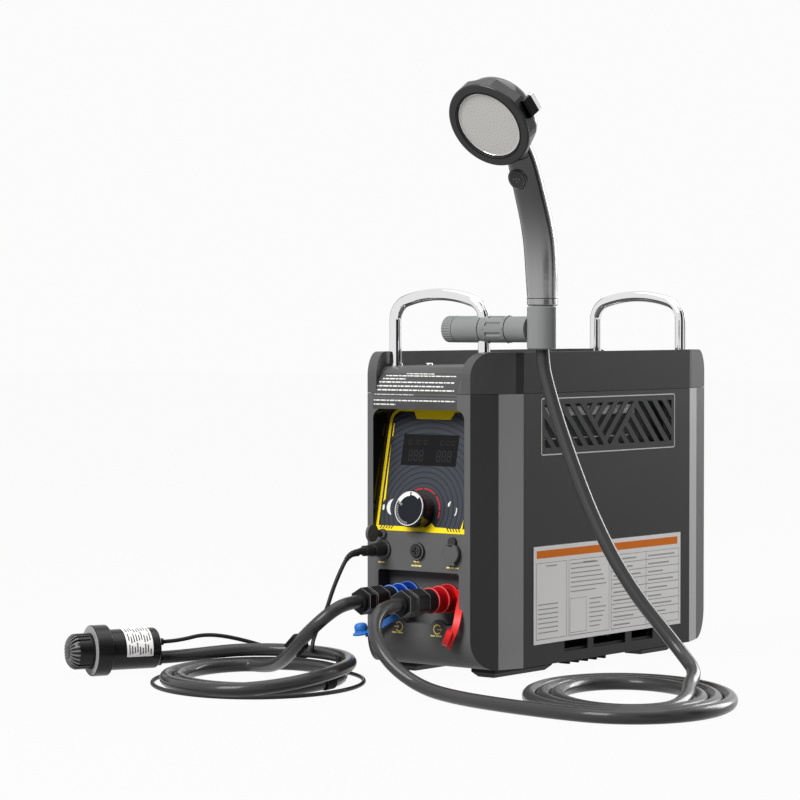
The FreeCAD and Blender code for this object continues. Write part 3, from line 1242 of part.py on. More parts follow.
def cord_path(points):
    """Straight runs joined by the largest tangent arcs that the runs allow."""
    edges = []
    radii = []
    start = points[0]
    for i in range(1, len(points) - 1):
        back = points[i - 1] - points[i]
        ahead = points[i + 1] - points[i]
        trim = 0.45 * min(back.Length, ahead.Length)
        back.normalize()
        ahead.normalize()
        turn = math.pi - back.getAngle(ahead)
        radius = trim / math.tan(turn / 2)
        radii.append(radius)
        inward = (back + ahead).normalize()
        reach = radius / math.cos(turn / 2) - radius
        a = points[i] + back * trim
        b = points[i] + ahead * trim
        edges.append(Part.LineSegment(start, a).toShape())
        edges.append(Part.Arc(a, points[i] + inward * reach, b).toShape())
        start = b
    edges.append(Part.LineSegment(start, points[-1]).toShape())
    return Part.Wire(edges), radii


def make_cord(name, points, diameter):
    path, radii = cord_path(points)
    profile = Part.Wire([Part.makeCircle(diameter / 2, points[0], points[1] - points[0])])
    solid = path.makePipeShell([profile], True, False)
    share = solid.Volume / (math.pi * diameter ** 2 / 4 * path.Length)
    runs = [(b - a).Length for a, b in zip(points, points[1:])]
    print(f"{name}: length {path.Length:.0f}, least radius {min(radii):.0f}, "
          f"volume share {share:.4f}, runs {min(runs):.0f} to {max(runs):.0f}")
    return solid


OUTLET_FRONT_ROUTE = [vec(PORT_X, HOSE_START, PORT_Z), vec(PORT_X, -299, PORT_Z),
                      vec(33, -322, 61),
                      vec(50, -333, 42), vec(72, -335, 24), vec(102, -334, 10),
                      vec(145, -345, 6.5), vec(205, -362, 6.5),
                      coil_point(OUTLET_COIL, 0, -132)]
OUTLET_RISER_ROUTE = [coil_point(OUTLET_COIL, 3, 0), vec(301, -182, 18),
                      vec(279, 5 - HANDLE_Y, 37), vec(258, 4 - HANDLE_Y, 60),
                      vec(232, 1 - HANDLE_Y, 89), vec(204, -1 - HANDLE_Y, 128),
                      vec(180, -1.5 - HANDLE_Y, 170), vec(160, -1 - HANDLE_Y, 212),
                      vec(143.5, -0.5 - HANDLE_Y, 250), vec(131, -0.2 - HANDLE_Y, 284),
                      vec(CRADLE_X, -HANDLE_Y, SPIGOT_LOW_Z - 25),
                      vec(CRADLE_X, -HANDLE_Y, SPIGOT_LOW_Z)]
INLET_FRONT_ROUTE = [vec(-PORT_X, HOSE_START, PORT_Z), vec(-PORT_X, -292, PORT_Z),
                     vec(-31.5, -311, 68), vec(-50, -320, 49), vec(-73, -312, 32),
                     vec(-97, -298, 19), vec(-122, -283, 10.5), vec(-147, -272, 7),
                     coil_point(INLET_COIL, 1, 101)]
PUMP_AXIS = vec(PUMP_AIM[0], PUMP_AIM[1], 0).normalize()
PUMP_BACK = vec(PUMP_REAR[0], PUMP_REAR[1], PUMP_AXIS_Z)
PUMP_SIDE = PUMP_AXIS.cross(Z)
BARB_END = PUMP_BACK - Z * 10 - PUMP_AXIS * 5
INLET_TAIL_ROUTE = [coil_point(INLET_COIL, 0, 96), vec(-191, -276, 17),
                    BARB_END - PUMP_AXIS * 20, BARB_END]
GLAND_END = PUMP_BACK + Z * 6 - PUMP_SIDE * 5 - PUMP_AXIS * 6
PLUG_END = vec(-SOCKET_X, -HALF_LENGTH - 40, SOCKET_Z - 1)
CABLE_LOOP_STEPS = 14


def cable_route():
    """Plug down behind the inlet hose, once round the coil on the floor, up to the pump."""
    floor = CABLE / 2 + 0.2
    points = [PLUG_END, PLUG_END - Y * 8, vec(-44, -266, 118.5), vec(-47.5, -271, 107),
              vec(-52, -278, 88), vec(-55, -284, 68), vec(-66, -285, 49), vec(-81, -273, 36),
              vec(-98, -253, 27), vec(-116, -233, 20), vec(-137, -214, 11)]
    for i in range(CABLE_LOOP_STEPS):
        degrees = 93 + 360 * i / CABLE_LOOP_STEPS
        points.append(coil_point(INLET_COIL, -0.5, degrees, CABLE + 3, floor))
    points += [vec(-150, -211, 9), vec(-184, -247, 27), vec(-206, -286, 37),
               GLAND_END - PUMP_AXIS * 16, GLAND_END]
    return points


# ---------------------------------------------------------------- pump
def make_pump_plug():
    """Plug in the pump socket: pins, barrel, grip and strain relief."""
    face = -HALF_LENGTH - SOCKET_FLANGE_THICKNESS - CLEAR
    length = face - PLUG_END.y
    spot = vec(-SOCKET_X, face, SOCKET_Z)
    parts = [rod(spot - Y * 0.5, Y, SOCKET_BORE - 0.2, 9),
             rod(spot, -Y, PLUG_BARREL, length * 0.4),
             rod(spot, -Y, PLUG_BARREL - 2.5, length * 0.75)]
    relief = Part.makeCone(PLUG_BARREL / 2 - 2.2, CABLE / 2 + 0.8, length * 0.25 + 0.2,
                           spot - Y * (length * 0.75 - 0.2), -Y)
    return fuse(parts + [relief])


def make_pump_body():
    """Motor housing with a flange in front, a hose barb and a cable gland behind."""
    body = rod(PUMP_BACK, PUMP_AXIS, PUMP_BODY, PUMP_BODY_LENGTH)
    back = min((e for e in body.Edges if len(e.Vertexes) == 1),
               key=lambda e: e.CenterOfMass.dot(PUMP_AXIS))
    body = body.makeFillet(3.0, [back])
    flange_at = PUMP_BACK + PUMP_AXIS * PUMP_BODY_LENGTH
    flange = rod(flange_at, PUMP_AXIS, PUMP_FLANGE, PUMP_FLANGE_LENGTH)
    flange = flange.makeFillet(1.0, [e for e in flange.Edges if len(e.Vertexes) == 1])
    room = rod(flange_at, PUMP_AXIS, PUMP_CAGE + 4, PUMP_FLANGE_LENGTH + 1)
    motor = rod(flange_at + PUMP_AXIS * -1, PUMP_AXIS, IMPELLER_SHAFT,
                PUMP_FLANGE_LENGTH + PUMP_CAGE_LENGTH / 2)
    barb = rod(BARB_END + PUMP_AXIS * 8, -PUMP_AXIS, HOSE + 3, 8)
    gland = rod(GLAND_END + PUMP_AXIS * 9, -PUMP_AXIS, CABLE + 3, 9)
    return fuse([fuse([body, flange]).cut(room), motor, barb, gland])


def make_pump_strainer():
    """Finned intake cage with a rounded end, pushed into the flange."""
    base = PUMP_BACK + PUMP_AXIS * (PUMP_BODY_LENGTH + CLEAR)
    length = PUMP_FLANGE_LENGTH + PUMP_CAGE_LENGTH - CLEAR
    cage = rod(base, PUMP_AXIS, PUMP_CAGE, length)
    front = max((e for e in cage.Edges if len(e.Vertexes) == 1),
                key=lambda e: e.CenterOfMass.dot(PUMP_AXIS))
    cage = cage.makeFillet(9.0, [front])
    seat = rod(base, PUMP_AXIS, PUMP_CAGE + 4 - 2 * FIT, PUMP_FLANGE_LENGTH - 2)
    cage = fuse([cage, seat])
    room = rod(base - PUMP_AXIS, PUMP_AXIS, IMPELLER_DIAMETER + 2, length - 5)
    slots = []
    low = PUMP_FLANGE_LENGTH + 4
    for i in range(PUMP_FINS):
        turn = 2 * math.pi * i / PUMP_FINS
        slot = Part.makeBox(10, 1.8, PUMP_CAGE_LENGTH, vec(PUMP_CAGE / 2 - 6.0, -0.9, low))
        slot.rotate(vec(0, 0, 0), Z, math.degrees(turn))
        slot.Placement = FreeCAD.Placement(base, FreeCAD.Rotation(Z, vec(0, 0, 0), PUMP_AXIS, "ZXY")
                                           ).multiply(slot.Placement)
        slots.append(slot)
    return cut(cage.cut(room), slots)


def make_pump_impeller():
    """Six-bladed wheel on the motor shaft inside the cage."""
    base = PUMP_BACK + PUMP_AXIS * (PUMP_BODY_LENGTH + PUMP_FLANGE_LENGTH)
    parts = [rod(base, PUMP_AXIS, 12, 14), rod(base, PUMP_AXIS, IMPELLER_DIAMETER - 1, 2)]
    for i in range(6):
        blade = Part.makeBox(IMPELLER_DIAMETER / 2 - 1.5, 1.6, 12, vec(0, -0.8, 0))
        blade.rotate(vec(0, 0, 0), Z, 60 * i)
        blade.Placement = FreeCAD.Placement(base, FreeCAD.Rotation(Z, vec(0, 0, 0), PUMP_AXIS, "ZXY")
                                            ).multiply(blade.Placement)
        parts.append(blade)
    bore = rod(base - PUMP_AXIS, PUMP_AXIS, IMPELLER_SHAFT + 2 * FIT, 20)
    return fuse(parts).cut(bore)


# ---------------------------------------------------------------- all nodes
def build():
    os.makedirs("parts", exist_ok=True)
    save("base_pan", make_base_pan())
    save("feet", make_feet())
    save("front_cap", make_front_cap())
    save("rear_cap", make_rear_cap())
    panel = make_side_panel()
    save("right_side_panel", cut(panel, vent_cut()))
    save("left_side_panel", mirrored(panel, X))
    save("corner_strips", make_corner_strips())
    save("top_cover", make_top_cover())
    save("cover_screws", make_cover_screws())
    save("front_handle", make_handle(-HANDLE_Y))
    save("rear_handle", make_handle(HANDLE_Y))
    save("handle_nuts", make_handle_nuts())
    save("control_panel", make_control_panel())
    save("panel_trim", make_panel_trim())
    save("display_window", make_display_window())
    save("control_board", make_control_board())
    save("control_knob", make_control_knob())
    save("pump_socket", make_pump_socket())
    save("pump_socket_cap", make_pump_socket_cap())
    save("fuse_holder", make_fuse_holder())
    save("fuse_cap", make_fuse_cap())
    save("dc_socket", make_dc_socket())
    save("dc_socket_cap", make_dc_socket_cap())
    save("water_ports", [make_water_port(x) for x in (-PORT_X, PORT_X)])
    save("inlet_collar", make_collar(-PORT_X))
    save("outlet_collar", make_collar(PORT_X))
    save("hose_connectors", [make_hose_connector(x) for x in (-PORT_X, PORT_X)])
    save("inlet_union_nut", make_union_nut(-PORT_X))
    save("outlet_union_nut", make_union_nut(PORT_X))
    save("inner_frame", make_inner_frame())
    save("heat_exchanger", make_heat_exchanger())
    save("burner", make_burner())
    save("flue_hood", make_flue_hood())
    save("gas_valve", make_gas_valve())
    save("gas_inlet_fitting", make_gas_inlet_fitting())
    save("gas_pipe", make_gas_pipe())
    save("cold_water_pipes", make_cold_water_pipes())
    save("hot_water_pipe", make_hot_water_pipe())
    save("flow_sensor", make_flow_sensor())
    save("fan_housing", make_fan_housing())
    save("fan_wheel", make_fan_wheel())
    save("holder_clamp_knob", make_holder_clamp_knob())
    save("holder_clamp", make_holder_clamp())
    save("holder_cradle", make_holder_cradle())
    save("handset_body", make_handset_body())
    save("spray_ring", make_spray_ring())
    save("mode_lever", make_mode_lever())
    save("spray_plate", make_spray_plate())
    save("stop_button", make_stop_button())
    save("outlet_hose_front", make_cord("outlet_hose_front", OUTLET_FRONT_ROUTE, HOSE))
    save("outlet_hose_coil", make_coil(OUTLET_COIL))
    save("outlet_hose_riser", make_cord("outlet_hose_riser", OUTLET_RISER_ROUTE, HOSE))
    save("inlet_hose_front", make_cord("inlet_hose_front", INLET_FRONT_ROUTE, HOSE))
    save("inlet_hose_coil", make_coil(INLET_COIL))
    save("inlet_hose_tail", make_cord("inlet_hose_tail", INLET_TAIL_ROUTE, HOSE))
    save("pump_cable", make_cord("pump_cable", cable_route(), CABLE))
    save("pump_plug", make_pump_plug())
    save("pump_body", make_pump_body())
    save("pump_strainer", make_pump_strainer())
    save("pump_impeller", make_pump_impeller())


build()
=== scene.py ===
import math
import bmesh
import bpy
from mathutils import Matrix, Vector


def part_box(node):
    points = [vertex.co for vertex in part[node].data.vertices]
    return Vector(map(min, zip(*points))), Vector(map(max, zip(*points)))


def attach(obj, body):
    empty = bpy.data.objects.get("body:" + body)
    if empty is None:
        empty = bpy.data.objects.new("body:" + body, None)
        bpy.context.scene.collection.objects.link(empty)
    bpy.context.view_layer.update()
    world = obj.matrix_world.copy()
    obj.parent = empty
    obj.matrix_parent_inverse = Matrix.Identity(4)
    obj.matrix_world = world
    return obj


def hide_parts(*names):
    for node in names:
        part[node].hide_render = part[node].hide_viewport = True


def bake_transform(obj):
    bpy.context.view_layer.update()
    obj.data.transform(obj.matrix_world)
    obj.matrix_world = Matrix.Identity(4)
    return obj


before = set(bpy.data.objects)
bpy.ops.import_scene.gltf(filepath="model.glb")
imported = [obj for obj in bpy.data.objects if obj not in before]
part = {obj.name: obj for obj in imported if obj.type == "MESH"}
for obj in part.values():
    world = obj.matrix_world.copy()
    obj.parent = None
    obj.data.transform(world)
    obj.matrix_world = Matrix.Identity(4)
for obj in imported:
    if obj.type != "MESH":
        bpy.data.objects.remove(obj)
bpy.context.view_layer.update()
scene = bpy.context.scene
scene.view_settings.view_transform = "Standard"


# ---- Studio
# A pale paper floor in a white surround, lit by large soft boxes. The paper shows as
# white from the front and still keeps the soft shadow under the heater. Black flags stand
# out of view, and only polished surfaces mirror them.
def node_tree(owner):
    owner.use_nodes = True
    owner.node_tree.nodes.clear()
    return owner.node_tree.nodes, owner.node_tree.links


def preset(node, **inputs):
    """Sets inputs of a node by their names, written with _ for a space."""
    for label, value in inputs.items():
        node.inputs[label.replace("_", " ")].default_value = value
    return node


def worked(nodes, links, operation, *given, kind="ShaderNodeMath"):
    """Math node of a material, fed in order by sockets or by plain values."""
    node = nodes.new(kind)
    node.operation = operation
    for socket, value in zip(node.inputs, given):
        if isinstance(value, bpy.types.NodeSocket):
            links.new(value, socket)
        else:
            socket.default_value = value
    return node


def seen_straight(nodes, links, share):
    """Light path mask: share for camera, mirror and glass rays, otherwise nothing."""
    path = nodes.new("ShaderNodeLightPath")
    mask = path.outputs["Is Camera Ray"]
    for other in ("Is Glossy Ray", "Is Transmission Ray"):
        mask = worked(nodes, links, "MAXIMUM", mask, path.outputs[other]).outputs[0]
    return worked(nodes, links, "MULTIPLY", mask, share).outputs[0]


def lit_or_shown(nodes, links, share, lit, shown, output):
    """Joins what lights the object and what is seen straight, and puts it out."""
    blend = nodes.new("ShaderNodeMixShader")
    links.new(seen_straight(nodes, links, share), blend.inputs[0])
    links.new(lit.outputs[0], blend.inputs[1])
    links.new(shown.outputs[0], blend.inputs[2])
    links.new(blend.outputs[0], nodes.new(output).inputs[0])


def plain_sheet(name, corners, material):
    """Flat sheet of the studio, which isn't part of the heater."""
    data = bpy.data.meshes.new(name)
    data.from_pydata(corners, [], [(0, 1, 2, 3)])
    data.materials.append(material)
    sheet = bpy.data.objects.new(name, data)
    scene.collection.objects.link(sheet)
    return sheet


paper = bpy.data.materials.new("studio_paper")
nodes, links = node_tree(paper)
matt = preset(nodes.new("ShaderNodeBsdfDiffuse"), Color=(0.32, 0.32, 0.32, 1))
white = nodes.new("ShaderNodeEmission")
PAPER_WHITE, FLOOR_HALF = 0.955, 12
lit_or_shown(nodes, links, PAPER_WHITE, matt, white, "ShaderNodeOutputMaterial")
plain_sheet("studio_floor", [(FLOOR_HALF * x, FLOOR_HALF * y, 0)
                             for x, y in ((-1, -1), (1, -1), (1, 1), (-1, 1))], paper)

surround = bpy.data.worlds.new("surround")
scene.world = surround
nodes, links = node_tree(surround)
fill = preset(nodes.new("ShaderNodeBackground"), Color=(1, 1, 1, 1), Strength=0.128)
shown = preset(nodes.new("ShaderNodeBackground"), Color=(0.97, 0.97, 0.97, 1))
lit_or_shown(nodes, links, 1.0, fill, shown, "ShaderNodeOutputWorld")

for name, place, width, depth, power in (("key", (-0.25, -2.45, 1.75), 1.4, 1.4, 92),
                                         ("overhead", (0.1, -0.1, 2.2), 2.0, 2.0, 26),
                                         ("rim", (0.65, 2.55, 1.15), 1.2, 1.6, 62)):
    lamp = bpy.data.lights.new(name, "AREA")
    lamp.shape = "RECTANGLE"
    lamp.size, lamp.size_y, lamp.energy = width, depth, power
    box_light = bpy.data.objects.new(name, lamp)
    box_light.location = place
    aim = Vector((0, 0, 0.2)) - Vector(place)
    box_light.rotation_euler = aim.to_track_quat("-Z", "Y").to_euler()
    scene.collection.objects.link(box_light)

flag_black = bpy.data.materials.new("flag_cloth")
nodes, links = node_tree(flag_black)
cloth = preset(nodes.new("ShaderNodeBsdfDiffuse"), Color=(0.01, 0.01, 0.01, 1))
links.new(cloth.outputs[0], nodes.new("ShaderNodeOutputMaterial").inputs[0])
FLAG_AWAY, FLAG_LOW, FLAG_HIGH = 3.4, -0.2, 2.6
for number, (towards, half) in enumerate(((-26, 1.25), (28, 0.55), (155, 0.6))):
    a = math.radians(towards)
    middle = Vector((FLAG_AWAY * math.cos(a), FLAG_AWAY * math.sin(a), 0))
    aside = Vector((-half * math.sin(a), half * math.cos(a), 0))
    low, high = Vector((0, 0, FLAG_LOW)), Vector((0, 0, FLAG_HIGH))
    flag = plain_sheet("flag_%d" % number, [middle - aside + low, middle + aside + low,
                                            middle + aside + high, middle - aside + high],
                       flag_black)
    flag.visible_camera = flag.visible_diffuse = flag.visible_shadow = False

lens = bpy.data.cameras.new("camera")
lens.lens = 133.30
lens.sensor_width = 36.0
lens.clip_end = 60
camera = bpy.data.objects.new("camera", lens)
camera.location = (1.757556, -2.489728, 0.350910)
camera.rotation_euler = (math.radians(90 - 1.5866), 0, math.radians(37.9817))
scene.collection.objects.link(camera)
scene.camera = camera


# ---- Finishes of moulded and painted surfaces
# Every finish has a fine grain, a cloudy shade and an uneven gloss from handling. The two
# effects are shader groups, and each material carries its own colour and amounts.
def shader_group(name, inputs, outputs):
    group = bpy.data.node_groups.new(name, "ShaderNodeTree")
    for label, kind, value in inputs:
        socket = group.interface.new_socket(label, in_out="INPUT", socket_type=kind)
        socket.default_value = value
    for label, kind in outputs:
        group.interface.new_socket(label, in_out="OUTPUT", socket_type=kind)
    return group, group.nodes, group.links, group.nodes.new("NodeGroupInput"), \
        group.nodes.new("NodeGroupOutput")


FLOAT, COLOUR = "NodeSocketFloat", "NodeSocketColor"
grain, nodes, links, given, made = shader_group(
    "grain", [("Size", FLOAT, 900.0)], [("Height", FLOAT)])
place = nodes.new("ShaderNodeTexCoord")
fine = preset(nodes.new("ShaderNodeTexNoise"), Detail=2.0)
links.new(place.outputs["Object"], fine.inputs["Vector"])
links.new(given.outputs["Size"], fine.inputs["Scale"])
links.new(fine.outputs["Fac"], made.inputs["Height"])

handling, nodes, links, given, made = shader_group(
    "handling", [("Colour", COLOUR, (0.5, 0.5, 0.5, 1)), ("Cloud", FLOAT, 0.1),
                 ("Gloss", FLOAT, 0.5), ("Marks", FLOAT, 0.05)],
    [("Colour", COLOUR), ("Roughness", FLOAT)])
place = nodes.new("ShaderNodeTexCoord")
cloud = preset(nodes.new("ShaderNodeTexNoise"), Scale=14.0, Detail=5.0)
links.new(place.outputs["Object"], cloud.inputs["Vector"])
around = preset(nodes.new("ShaderNodeMapRange"), To_Min=-1.0)
links.new(cloud.outputs["Fac"], around.inputs["Value"])
clouds, marks = (worked(nodes, links, "MULTIPLY", around.outputs[0], given.outputs[label])
                 for label in ("Cloud", "Marks"))
level = worked(nodes, links, "ADD", clouds.outputs[0], 1.0)
tint = worked(nodes, links, "SCALE", given.outputs["Colour"], kind="ShaderNodeVectorMath")
links.new(level.outputs[0], tint.inputs["Scale"])
links.new(tint.outputs[0], made.inputs["Colour"])
rough = worked(nodes, links, "ADD", marks.outputs[0], given.outputs["Gloss"])
rough.use_clamp = True
links.new(rough.outputs[0], made.inputs["Roughness"])


def put_group(nodes, group, **values):
    holder = nodes.new("ShaderNodeGroup")
    holder.node_tree = group
    return preset(holder, **values)


def dress(material, *names):
    """Gives the named parts this finish."""
    for name in names:
        materials = part[name].data.materials
        materials.clear()
        materials.append(material)


def finish(name, colour, rough, metal=0.0, coat=0.0, size=900.0, depth=0.1, cloud=0.1,
           marks=0.05, level=0.14, on=()):
    """Material of a surface: its colour and gloss, its grain, its clouds and marks."""
    material = bpy.data.materials.new(name)
    nodes, links = node_tree(material)
    skin = preset(nodes.new("ShaderNodeBsdfPrincipled"), Metallic=metal, Coat_Weight=coat,
                  Coat_Roughness=0.08, Specular_IOR_Level=level)
    wear = put_group(nodes, handling, Colour=(*colour, 1), Cloud=cloud, Gloss=rough, Marks=marks)
    skin.name, wear.name = "Skin", "Wear"
    links.new(wear.outputs["Colour"], skin.inputs["Base Color"])
    links.new(wear.outputs["Roughness"], skin.inputs["Roughness"])
    texture = put_group(nodes, grain, Size=size)
    relief = preset(nodes.new("ShaderNodeBump"), Strength=depth, Distance=0.0004)
    links.new(texture.outputs["Height"], relief.inputs["Height"])
    links.new(relief.outputs[0], skin.inputs["Normal"])
    links.new(skin.outputs[0], nodes.new("ShaderNodeOutputMaterial").inputs[0])
    dress(material, *on)
    return material


def open_finish(material):
    """Nodes and links of a finish, and the places on its surface."""
    nodes = material.node_tree.nodes
    return nodes, material.node_tree.links, nodes.new("ShaderNodeTexCoord").outputs


def coordinate(nodes, links, place, axis):
    """One coordinate of a place or a direction."""
    split = nodes.new("ShaderNodeSeparateXYZ")
    links.new(place, split.inputs[0])
    return split.outputs[axis]


def two_colours(material, mask, colour, where_on=True):
    """Mixes a second colour into a finish, where its mask is on or where it is off."""
    nodes, links = material.node_tree.nodes, material.node_tree.links
    own, second = ("A", "B") if where_on else ("B", "A")
    mixed = nodes.new("ShaderNodeMix")
    mixed.data_type = "RGBA"
    mixed.inputs[second].default_value = (*colour, 1)
    links.new(mask, mixed.inputs["Factor"])
    links.new(nodes["Wear"].outputs["Colour"], mixed.inputs[own])
    links.new(mixed.outputs["Result"], nodes["Skin"].inputs["Base Color"])


def soft_edge(nodes, links, value, start, end):
    """Mask that rises smoothly from nothing to one between two values."""
    edge = preset(nodes.new("ShaderNodeMapRange"), From_Min=start, From_Max=end)
    edge.interpolation_type = "SMOOTHSTEP"
    links.new(value, edge.inputs["Value"])
    return edge.outputs[0]


def add_piece(name, data, material, body):
    """New piece of the object with its finish, fixed to a body when one is given."""
    piece = bpy.data.objects.new(name, data)
    scene.collection.objects.link(piece)
    data.materials.append(material)
    if body:
        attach(piece, body)
    return piece


# ---- Shower hose
# Thick grey PVC hose, 13 mm over the wall. It leaves the hot fitting, drops to the floor,
# lies there in a flat coil of more than three turns and rises to the foot of the handset.
HOSE = 0.013
PORT_X, PORT_Z, HANDSET_X = 0.0245, 0.078, 0.1235
COIL_TURNED = math.radians(37.98)
hose_pvc = finish("hose_pvc", (0.038, 0.038, 0.038), 0.30, coat=0.20, size=260.0, depth=0.12,
                  cloud=0.12, marks=0.07)


def coil_point(coil, lane, degrees, height=HOSE / 2):
    """Point on a flat coil. Lane 0 is the outermost place for a turn, 1 the next one in."""
    x, y, short, long = coil
    inset = HOSE * (lane + 0.5)
    a = (short - inset) * math.cos(math.radians(degrees))
    b = (long - inset) * math.sin(math.radians(degrees))
    co, si = math.cos(COIL_TURNED), math.sin(COIL_TURNED)
    return (x + a * co - b * si, y + a * si + b * co, height)


def cord_curve(name, points, thickness):
    """Flexible round line that runs smoothly along its points."""
    curve = bpy.data.curves.new(name, "CURVE")
    curve.dimensions = "3D"
    curve.bevel_depth = thickness / 2
    curve.bevel_resolution = 5
    curve.resolution_u = 8
    curve.use_fill_caps = True
    line = curve.splines.new("NURBS")
    line.points.add(len(points) - 1)
    for knot, point in zip(line.points, points):
        knot.co = (*point, 1)
    line.order_u = 3
    line.use_endpoint_u = True
    return curve


def as_mesh(curve):
    """Mesh of a curve as it stands: its round body, or its bare line without a bevel."""
    holder = bpy.data.objects.new("holder", curve)
    scene.collection.objects.link(holder)
    mesh = bpy.data.meshes.new_from_object(holder)
    bpy.data.objects.remove(holder)
    return mesh


def line_of(curve):
    """Points along the middle of a cord."""
    bare = curve.copy()
    bare.bevel_depth = 0
    return [v.co.copy() for v in as_mesh(bare).vertices]


outlet_coil = (0.2674, -0.2479, 0.105, 0.145)
shower_route = [(PORT_X, -0.272, PORT_Z), (PORT_X, -0.299, PORT_Z), (0.033, -0.322, 0.061),
                (0.050, -0.333, 0.042), (0.072, -0.335, 0.024), (0.102, -0.334, 0.010),
                (0.145, -0.345, 0.0065), (0.205, -0.362, 0.0065)]
COIL_STEPS, LIFTED_FROM, LIFT_STEP = 48, 46, 0.0048
FIRST_LANE, LANES, FIRST_ANGLE, TURNED = -0.22, 3.44, -132, 1212
for step in range(COIL_STEPS + 1):
    share = step / COIL_STEPS
    lift = max(0, step - LIFTED_FROM) * LIFT_STEP
    shower_route.append(coil_point(outlet_coil, FIRST_LANE + LANES * share,
                                   FIRST_ANGLE + TURNED * share, HOSE / 2 + lift))
shower_route += [(0.302, -0.183, 0.025), (0.279, -0.171, 0.040), (0.258, -0.172, 0.062),
                 (0.232, -0.175, 0.090), (0.204, -0.177, 0.128), (0.180, -0.1775, 0.170),
                 (0.160, -0.177, 0.212), (0.1435, -0.1765, 0.250), (0.131, -0.1762, 0.284),
                 (HANDSET_X, -0.176, 0.309), (HANDSET_X, -0.176, 0.334)]
shower_curve = cord_curve("shower_hose_line", shower_route, HOSE)
shower_line = line_of(shower_curve)
shower_mesh = as_mesh(shower_curve)
shower_mesh.materials.clear()
shower_hose = add_piece("shower_hose", shower_mesh, hose_pvc, None)
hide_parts("outlet_hose_front", "outlet_hose_coil", "outlet_hose_riser")
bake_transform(shower_hose)


# ---- Inlet hose
# The same hose from the cold fitting. It comes down inside its coil, lies in two turns and
# leaves over its own first turn for the barb of the pump.
inlet_coil = (-0.0963, -0.3366, 0.097, 0.120)
inlet_route = [(-PORT_X, -0.272, PORT_Z), (-PORT_X, -0.292, PORT_Z), (-0.0315, -0.311, 0.068),
               (-0.050, -0.320, 0.049), (-0.073, -0.312, 0.032), (-0.097, -0.298, 0.019),
               (-0.122, -0.283, 0.0105), (-0.147, -0.272, 0.007)]
INLET_STEPS, INLET_ANGLE, INLET_TURNED, INNER_LANE, OVER_ITSELF = 28, 101, 715, 1.04, 0.0136
OUTWARDS_FROM, OUTWARDS_OVER, RISES_FROM, RISES_OVER = 330, 100, 620, 75
for step in range(INLET_STEPS + 1):
    turned = INLET_ANGLE + INLET_TURNED * step / INLET_STEPS
    outwards = min(1.0, max(0.0, (turned - OUTWARDS_FROM) / OUTWARDS_OVER))
    rise = min(1.0, max(0.0, (turned - RISES_FROM) / RISES_OVER))
    inlet_route.append(coil_point(inlet_coil, INNER_LANE * (1 - outwards), turned,
                                  HOSE / 2 + OVER_ITSELF * rise))
inlet_route += [(-0.191, -0.276, 0.0195), (-0.221, -0.3125, 0.015), (-0.2298, -0.3305, 0.015)]
inlet_curve = cord_curve("inlet_hose", inlet_route, HOSE)
inlet_line = line_of(inlet_curve)
inlet_hose = add_piece("inlet_hose", inlet_curve, hose_pvc, "case")
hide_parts("inlet_hose_front", "inlet_hose_coil", "inlet_hose_tail")


# ---- Pump cable
# Thin black two-core cable with a moulded plug. It drops behind the inlet hose, runs once
# round the coil on the floor and climbs over the hose to the gland of the pump.
CABLE = 0.004
cable_rubber = finish("cable_rubber", (0.022, 0.022, 0.023), 0.38, size=500.0, depth=0.1,
                      cloud=0.15)
cable_route = [(-0.043, -0.250, 0.123), (-0.043, -0.258, 0.123), (-0.044, -0.266, 0.1185),
               (-0.0475, -0.271, 0.107), (-0.052, -0.278, 0.088), (-0.055, -0.284, 0.068),
               (-0.066, -0.285, 0.049), (-0.081, -0.273, 0.036), (-0.098, -0.253, 0.027),
               (-0.116, -0.233, 0.020), (-0.137, -0.214, 0.011)]
BESIDE_COIL, CABLE_STEPS, CABLE_ANGLE = 0.0135, 14, 93
round_coil = inlet_coil[:2] + tuple(size + BESIDE_COIL for size in inlet_coil[2:])
for step in range(CABLE_STEPS):
    cable_route.append(coil_point(round_coil, 0, CABLE_ANGLE + 360 * step / CABLE_STEPS, 0.0022))
cable_route += [(-0.150, -0.211, 0.009), (-0.184, -0.247, 0.027), (-0.206, -0.286, 0.037),
                (-0.2178, -0.3174, 0.031), (-0.2249, -0.3318, 0.031)]
lead_curve = cord_curve("pump_lead", cable_route, CABLE)
lead_line = line_of(lead_curve)
pump_lead = add_piece("pump_lead", lead_curve, cable_rubber, "case")
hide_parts("pump_cable")


# ---- Hose ties and plug relief
# Soft black straps hold the hose turns together, each a band round the hose with its free
# end standing off, and an open clip grips the inlet run. The plug ends in a ribbed rubber
# relief that follows the lead.
def soft_mesh(name, points, faces, smooth=True):
    data = bpy.data.meshes.new(name)
    data.from_pydata([tuple(p) for p in points], [], faces)
    if smooth:
        data.shade_smooth()
    data.update()
    return data


def circle(centre, across, up, radius, count):
    """Points round a centre, in the plane of two directions."""
    return [centre + (across * math.cos(t) + up * math.sin(t)) * radius
            for t in (2 * math.pi * i / count for i in range(count))]


def ring_body(name, rings, closed=False, creased=False):
    """Skin over a row of rings of points, with flat ends unless it closes on itself."""
    count = len(rings[0])
    points = [p for ring in rings for p in ring]
    faces = []
    last = len(rings) if closed else len(rings) - 1
    for r in range(last):
        n = (r + 1) % len(rings)
        for i in range(count):
            j = (i + 1) % count
            faces.append((r * count + i, r * count + j, n * count + j, n * count + i))
    if not closed:
        faces.append(tuple(reversed(range(count))))
        faces.append(tuple((len(rings) - 1) * count + i for i in range(count)))
    data = soft_mesh(name, points, faces)
    if creased:
        data.set_sharp_from_angle(angle=math.radians(35))
    return data


def frame_of(axis):
    """Two directions across an axis, the first as level as it can be."""
    axis = Vector(axis).normalized()
    level = axis.cross(Vector((0, 0, 1)))
    level = level.normalized() if level.length > 0.01 else Vector((1, 0, 0))
    return axis, level, level.cross(axis)


